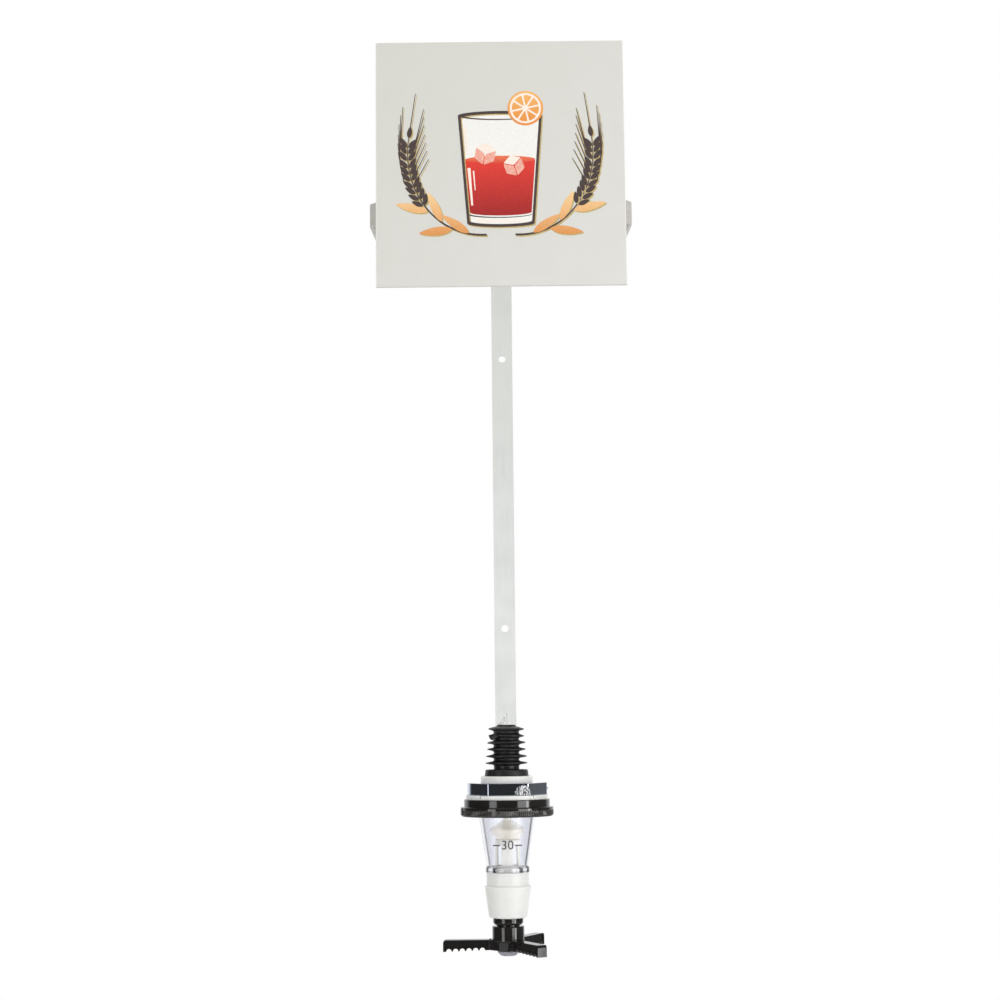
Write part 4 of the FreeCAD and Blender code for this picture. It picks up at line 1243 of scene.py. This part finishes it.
def addChamber():
    low, top, rim = span("measure_chamber")
    slack, foot, hole = chamber["slack"], chamber["footRadius"], chamber["hole"]
    floorTop = low + chamber["floorThick"]
    rimLow = top - chamber["rimThick"]
    boreRise = (chamber["topBore"] - chamber["lowBore"]) / (collarLow - floorTop)
    boreTop = chamber["topBore"] + (top - collarLow) * boreRise
    bm = turned([
        (boreTop, top - slack), (rim, top - slack), (rim, rimLow + slack, 0.3),
        (wallRadius(rimLow), rimLow + slack, 0.6), (chamber["lowRadius"], footTop, 0.5),
        (foot, footTop - 0.6, 0.3), (foot, low + slack, 0.3), (hole, low + slack), (hole, floorTop),
        (chamber["lowBore"], floorTop, 0.8),
    ], 160)
    addPiece("measureGlass", bm, mats["clear_plastic"], ["measure_chamber"])


addChamber()


def addRing(name, node, bore, material, rounding=0.2):
    low, top, radius = span(node)
    bm = turned([(r, z, rounding) for r, z in ((bore, low), (radius, low), (radius, top), (bore, top))], 96)
    addPiece(name, bm, mats[material], [node])


rings = {"gasketBore": 20.1, "footBore": 8.7, "sealBore": 2.75}
addRing("rimGasket", "chamber_gasket", rings["gasketBore"], "seal_rubber")
addRing("footRing", "foot_seal", rings["footBore"], "seal_rubber", 0.15)
addRing("outletSeal", "lower_seal", rings["sealBore"], "seal_rubber")
print("collar and chamber ready")

guide = {"wall": 1.4, "radius": 8.7, "slots": 4, "slotHalf": 16.25, "slotFirst": 45.0, "bandHeight": 3.6,
         "flange": 10.5, "flangeLow": -278.3, "flangeThick": 1.2, "steps": 144, "edge": 0.15}


def addGuide():
    low, top = span("valve_guide")[:2]
    slotLow = guide["flangeLow"] + guide["flangeThick"]
    slotHigh = top - guide["bandHeight"]
    bm = bmesh.new()
    heights = [top, slotHigh, slotLow, low]
    dots = [bm.verts.new((guide["radius"], axisLine, z)) for z in heights]
    for first, second in zip(dots, dots[1:]):
        bm.edges.new((first, second))
    bmesh.ops.spin(bm, geom=bm.verts[:] + bm.edges[:], cent=(0, axisLine, 0), axis=(0, 0, 1), dvec=(0, 0, 0),
                   angle=math.tau, steps=guide["steps"], use_merge=True)
    bmesh.ops.remove_doubles(bm, verts=bm.verts, dist=sameSpot)
    gone = []
    pitch = 360 / guide["slots"]
    for face in bm.faces:
        middle = face.calc_center_median()
        turn = math.degrees(math.atan2(middle.y - axisLine, middle.x)) - guide["slotFirst"]
        if slotLow < middle.z < slotHigh and abs((turn + pitch / 2) % pitch - pitch / 2) < guide["slotHalf"]:
            gone.append(face)
    bmesh.ops.delete(bm, geom=gone, context="FACES")
    bmesh.ops.recalc_face_normals(bm, faces=bm.faces)
    if sum(face.normal.xy.dot(inPlan(face.calc_center_median())) for face in bm.faces) < 0:
        bmesh.ops.reverse_faces(bm, faces=bm.faces)
    bmesh.ops.solidify(bm, geom=bm.faces[:], thickness=guide["wall"])
    bmesh.ops.recalc_face_normals(bm, faces=bm.faces)
    bevel(bm, sharpEdges(bm, 60), guide["edge"], 1)
    inner, outer, flangeLow = guide["radius"] - 0.4, guide["flange"], guide["flangeLow"] + 0.02
    flange = turned([(inner, flangeLow), (outer, flangeLow, 0.2), (outer, slotLow, 0.3), (inner, slotLow)])
    addPiece("guideTube", joined(bm, flange), mats["milky_plastic"], ["valve_guide"])


addGuide()

spigot = {  # webLow is the web between socket and slide, above the foot; the seal's seat is in the top
    "topRadius": 14.95, "step": 9.1, "stepRadius": 16.35, "lowRadius": 13.35, "slide": 10.75, "webLow": 24.2,
    "webThick": 4.0, "port": 4.5, "socket": 8.75, "sealDepth": 0.8, "sealReach": 11.95,
}


def addSpigot():
    low, top = span("spigot_body")[:2]
    webLow = low + spigot["webLow"]
    socketLow = webLow + spigot["webThick"]
    step = top - spigot["step"]
    sealLow = top - spigot["sealDepth"]
    neck, slide, port, socket, seal = (
        spigot[key] for key in ("topRadius", "slide", "port", "socket", "sealReach"))
    bm = turned([
        (seal, top), (neck, top, 0.35), (neck, step, 0.3), (spigot["stepRadius"], step - 0.7, 0.4),
        (spigot["lowRadius"], low, 1.6), (slide + 0.6, low, 0.2), (slide, low + 0.8), (slide, webLow),
        (port, webLow, 0.3), (port, socketLow, 0.3), (socket, socketLow), (socket, sealLow), (seal, sealLow),
    ], 160)
    milkier = whiteAcetal("milkierAcetal", 5 * mm, 0.7)
    addPiece("spigotShell", bm, milkier, ["spigot_body"])


addSpigot()

stem = {"radius": 2.75, "disc": 6.0, "discThick": 1.6, "screw": 2.0, "bead": 3.45, "beadRise": 4.2}
spiderTop = -305.0  # the outlet tube's three ribs, which the stem's shoulder stands on


def addStem():
    low, top = span("valve_stem")[:2]
    seal = span("lower_seal")[1]
    disc = seal + stem["discThick"]
    bead = span("valve_guide")[1] + stem["beadRise"]
    rod, screw = stem["radius"], stem["screw"]
    bm = turned([
        (0, top), (rod, top, 1.0), (rod, bead + 1.4), (stem["bead"], bead + 0.9, 0.2), (stem["bead"], bead),
        (rod, bead), (rod, disc, 0.3), (stem["disc"], disc, 0.4), (stem["disc"], seal), (rod, seal),
        (rod, spiderTop, 0.2), (screw, spiderTop), (screw, low, 0.4), (0, low),
    ], 64)
    addPiece("plungerStem", bm, mats["milky_plastic"], ["valve_stem"])


addStem()

umbrella = {"slope": 5.6, "lip": 2.4, "wall": 1.5, "stem": 2.75, "skirt": 8.7, "hubWall": 1.6, "hubRise": 5.2}


def addUmbrella():
    low, top, radius = span("umbrella_valve")
    lipTop = top - umbrella["slope"]
    lipLow = lipTop - umbrella["lip"]
    wall, rod, skirt = umbrella["wall"], umbrella["stem"], umbrella["skirt"]
    hub = rod + umbrella["hubWall"]
    hubLow = low + umbrella["hubRise"]
    bm = turned([
        (rod, top), (rod + 0.7, top, 0.3), (radius, lipTop, 0.8), (radius, lipLow, 0.8),
        (skirt, low + 0.6, 0.4), (skirt, low), (skirt - wall, low), (skirt - wall, low + 1.0, 0.4),
        (radius - wall, lipLow + 0.4, 0.6), (radius - wall, lipTop - 0.6, 0.5), (hub, top - 2.8, 0.5),
        (hub, hubLow, 0.2), (rod, hubLow),
    ])
    addPiece("umbrellaSeal", bm, mats["silicone"], ["umbrella_valve"])


addUmbrella()
print("valve ready")

outlet = {
    "bore": 8.95, "neck": 8.3, "tail": 6.0, "insert": 5.0, "insertDepth": 5.3, "spoutBore": 4.25,
    "tubeLow": -318.0, "spiderThick": 3.0, "hub": 4.6, "ribs": 3, "ribThick": 1.6, "screw": 2.0,
}


def addOutlet():
    low, top, radius = span("outlet_tube")
    ledge = span("push_head")[1] + 0.2
    spiderLow = spiderTop - outlet["spiderThick"]
    insertTop = low + outlet["insertDepth"]
    bore, neck, tail, insert, spoutBore, tubeLow, hub, screw = (outlet[key] for key in (
        "bore", "neck", "tail", "insert", "spoutBore", "tubeLow", "hub", "screw"))
    bm = turned([
        (bore, top, 0.2), (radius, top, 0.3), (radius, tubeLow + 1.1, 0.3), (radius - 1.1, tubeLow, 0.3),
        (neck, tubeLow, 0.2), (neck, ledge), (tail, ledge), (tail, low), (insert, low), (insert, insertTop),
        (spoutBore, insertTop), (spoutBore, tubeLow + 2.5), (bore, spiderLow - 4.0),
    ])
    ring = [(screw, spiderLow), (hub, spiderLow, 0.3), (hub, spiderTop, 0.3), (screw, spiderTop)]
    spider = turned(ring, 64)
    for i in range(outlet["ribs"]):
        addBlock(spider, 90 + 360 / outlet["ribs"] * i, ((hub + bore) / 2, 0, (spiderLow + spiderTop) / 2),
                 (bore - hub + 0.6, outlet["ribThick"], outlet["spiderThick"] - 0.1))
    addPiece("outletPipe", joined(bm, spider), mats["black_plastic"], ["outlet_tube"])


addOutlet()

stemNut = {"flats": 7.0, "bore": 2.0, "corner": 0.15, "edge": 0.12}
addPiece("stemLockNut", hexRing(stemNut, *span("stem_nut")[:2]), mats["spring_steel"], ["stem_nut"])

spring = {"wire": 1.0, "radius": 7.4, "turns": 5, "steps": 48, "travel": 5.4}


def addSpring():
    low, top = span("return_spring")[:2]
    wire = spring["wire"]
    rise = (top - low - wire) / (spring["turns"] * spring["steps"])
    bm = bmesh.new()
    start = Matrix.Translation((spring["radius"], axisLine, low + wire / 2))
    bmesh.ops.create_circle(bm, cap_ends=True, segments=12, radius=wire / 2,
                            matrix=start @ Matrix.Rotation(math.radians(90), 4, "X"))
    bmesh.ops.spin(bm, geom=bm.faces[:], cent=(0, axisLine, 0), axis=(0, 0, 1), dvec=(0, 0, rise),
                   angle=math.tau * spring["turns"], steps=spring["turns"] * spring["steps"], use_merge=False)
    bmesh.ops.recalc_face_normals(bm, faces=bm.faces)
    coil = addPiece("returnCoil", bm, mats["spring_steel"], ["return_spring"], body="root", weighted=False)
    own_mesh(coil)


addSpring()

spout = {"insert": 5.0, "bore": 4.25, "insertDepth": 5.3, "lowRadius": 5.3}


def addSpout():
    low, top, rim = span("spout_nozzle")
    rimTop = top - spout["insertDepth"]
    bm = turned([
        (spout["bore"], top, 0.2), (spout["insert"], top, 0.2), (spout["insert"], rimTop), (rim, rimTop, 0.2),
        (rim, rimTop - 0.8, 0.3), (spout["lowRadius"], low, 1.6), (spout["bore"], low, 0.3),
    ])
    addPiece("spoutTip", bm, mats["grey_plastic"], ["spout_nozzle"])


addSpout()

pushHead = {
    "hubRadius": 11.3, "hubHeight": 10.0, "bossTop": 8.8, "bossLow": 7.8, "bore": 6.05,
    "turns": (180, 300, 60),  # one arm points left
    "armTop": -328.3,
    "armLength": 46.0, "armWidth": 7.2,
    "rootDepth": 7.1, "endDepth": 8.1,  # an arm gets deeper towards its end
    "corner": 2.0,
    "block": (6.4, 13.8), "blockWidth": 8.8,  # thicker root of an arm
    "teeth": 7, "firstTooth": 16.0, "pitch": 4.7, "toothFlat": 0.9,
    "rim": 1.0, "sunk": 0.7,  # panel in each side of an arm
    "panelCut": 1.5,  # its corner keeps clear of the arm's rounded end
    "topEdge": 0.8,
    "edge": 0.3,
}


def armLoops():  # side of an arm and the panel in it, as (x, z) corners
    top, deep = pushHead["armTop"], pushHead["armTop"] - pushHead["rootDepth"]
    start, end, corner = pushHead["block"][1], pushHead["armLength"], pushHead["corner"]
    slope = (pushHead["endDepth"] - pushHead["rootDepth"]) / (end - start)
    side = [(start - 2, deep), (start - 2, top)] + arc(end - corner, top - corner, corner, corner, 90, 0, 6)
    side += [(end, top - pushHead["endDepth"])]
    hollow = (pushHead["pitch"] - pushHead["toothFlat"]) / 2
    for i in reversed(range(pushHead["teeth"] - 1)):
        middle = pushHead["firstTooth"] + (i + 0.5) * pushHead["pitch"]
        side += arc(middle, deep - (middle - start) * slope, hollow, hollow, 0, 180, 8)
    side += [(start, deep)]
    rim = pushHead["rim"]
    low, near, far = deep + hollow + 0.5, start + 0.8, end - 1.4 * rim
    cut = pushHead["panelCut"]
    return side, [(near, low), (near, top - rim), (far - cut, top - rim), (far, top - rim - cut),
                  (far, low - (far - near) * slope)]


def armBar():
    bm = bmesh.new()
    half = pushHead["armWidth"] / 2
    rings = []
    for corners in armLoops():
        dots = [bm.verts.new((x, -half, z)) for x, z in corners]
        rings.append([bm.edges.new((dots[i - 1], dots[i])) for i in range(len(dots))])
    bmesh.ops.triangle_fill(bm, use_beauty=False, use_dissolve=False, edges=rings[0] + rings[1])
    inner = newVerts(bmesh.ops.extrude_edge_only(bm, edges=rings[1]))
    bmesh.ops.translate(bm, verts=inner, vec=(0, pushHead["sunk"], 0))
    sunk = [edge for edge in bm.edges if all(vert in inner for vert in edge.verts)]
    bmesh.ops.contextual_create(bm, geom=sunk)
    bmesh.ops.mirror(bm, geom=bm.verts[:] + bm.edges[:] + bm.faces[:], merge_dist=0, axis="Y")
    across = newVerts(bmesh.ops.extrude_edge_only(bm, edges=rings[0]))
    bmesh.ops.translate(bm, verts=across, vec=(0, 2 * half, 0))
    bmesh.ops.remove_doubles(bm, verts=bm.verts, dist=1e-3)
    bmesh.ops.recalc_face_normals(bm, faces=bm.faces)
    for offset, lowest in (("topEdge", pushHead["armTop"] - pushHead["corner"] - 0.1), ("edge", -400)):
        edges = [edge for edge in sharpEdges(bm, 50) if min(vert.co.z for vert in edge.verts) > lowest
                 and (offset == "edge" or min(abs(vert.co.y) for vert in edge.verts) > half - 0.01)]
        bevel(bm, edges, pushHead[offset])
    return bm


def armRoot(low):  # block with a gusset down to the boss
    start, end = pushHead["block"]
    top, deep = pushHead["armTop"], pushHead["armTop"] - pushHead["rootDepth"]
    corners = [(start, top), (end, top), (end, deep + 0.6), (end - 1.2, deep)]
    corners += [(pushHead["bossLow"] - 0.4, low + 0.3), (start, low + 0.3)]
    bm = bmesh.new()
    bm.faces.new([bm.verts.new((x, -pushHead["blockWidth"] / 2, z)) for x, z in corners])
    thicken(bm, (0, pushHead["blockWidth"], 0))
    bevel(bm, sharpEdges(bm, 28), pushHead["edge"])
    return bm


def addPushHead():
    low, top = span("push_head")[:2]
    hub, bore, hubLow = pushHead["hubRadius"], pushHead["bore"], top - pushHead["hubHeight"]
    bm = turned([
        (bore, top, 0.2), (hub, top, 0.6), (hub, hubLow, 0.3), (pushHead["bossTop"], hubLow - 1.2, 0.4),
        (pushHead["bossLow"], low, 0.4), (bore, low, 0.2),
    ])
    for turn in pushHead["turns"]:
        arm = joined(armBar(), armRoot(low))
        bmesh.ops.rotate(arm, verts=arm.verts, matrix=Matrix.Rotation(math.radians(turn), 3, "Z"))
        bmesh.ops.translate(arm, verts=arm.verts, vec=(0, axisLine, 0))
        joined(bm, arm)
    addPiece("threeArmHead", bm, mats["black_plastic"], ["push_head"])


addPushHead()
print("plunger and push head ready")

fillMark = {
    "text": "30",
    "height": 6.4,  # of the figures
    "level": -262.5,
    "bars": ((-11.0, -5.4), (5.4, 11.0)),  # a line each side of the figures
    "barHeight": 0.8,
    "film": 0.03,
    "above": 0.01,  # off the wall
}


def addFillMark():
    curve = bpy.data.curves.new("fillText", "FONT")
    curve.body = fillMark["text"]
    curve.align_x = "CENTER"
    curve.align_y = "CENTER"
    curve.size = fillMark["height"] * 1.4
    text = bpy.data.objects.new("fillText", curve)
    flat = bpy.data.meshes.new_from_object(text)
    bm = bmesh.new()
    bm.from_mesh(flat)
    bpy.data.objects.remove(text)
    for left, right in fillMark["bars"]:
        bar = bmesh.ops.create_grid(bm, x_segments=12, y_segments=1, size=0.5)["verts"]
        bmesh.ops.scale(bm, vec=(right - left, fillMark["barHeight"], 1), verts=bar)
        bmesh.ops.translate(bm, verts=bar, vec=((left + right) / 2, 0, 0))
    bmesh.ops.triangulate(bm, faces=bm.faces[:])
    bmesh.ops.subdivide_edges(bm, edges=bm.edges[:], cuts=2, use_grid_fill=True)
    thicken(bm, (0, 0, fillMark["film"]))
    for vert in bm.verts:  # the flat print is wrapped round the wall
        x, y, lift = vert.co
        height = fillMark["level"] + y
        radius = wallRadius(height) + fillMark["above"] + lift
        turn = x / radius
        vert.co = (radius * math.sin(turn), axisLine - radius * math.cos(turn), height)
    bmesh.ops.recalc_face_normals(bm, faces=bm.faces)
    addPiece("fillMarkPrint", bm, inks["black"], ["measure_chamber"], hide=False)


addFillMark()
print("print on the chamber ready")
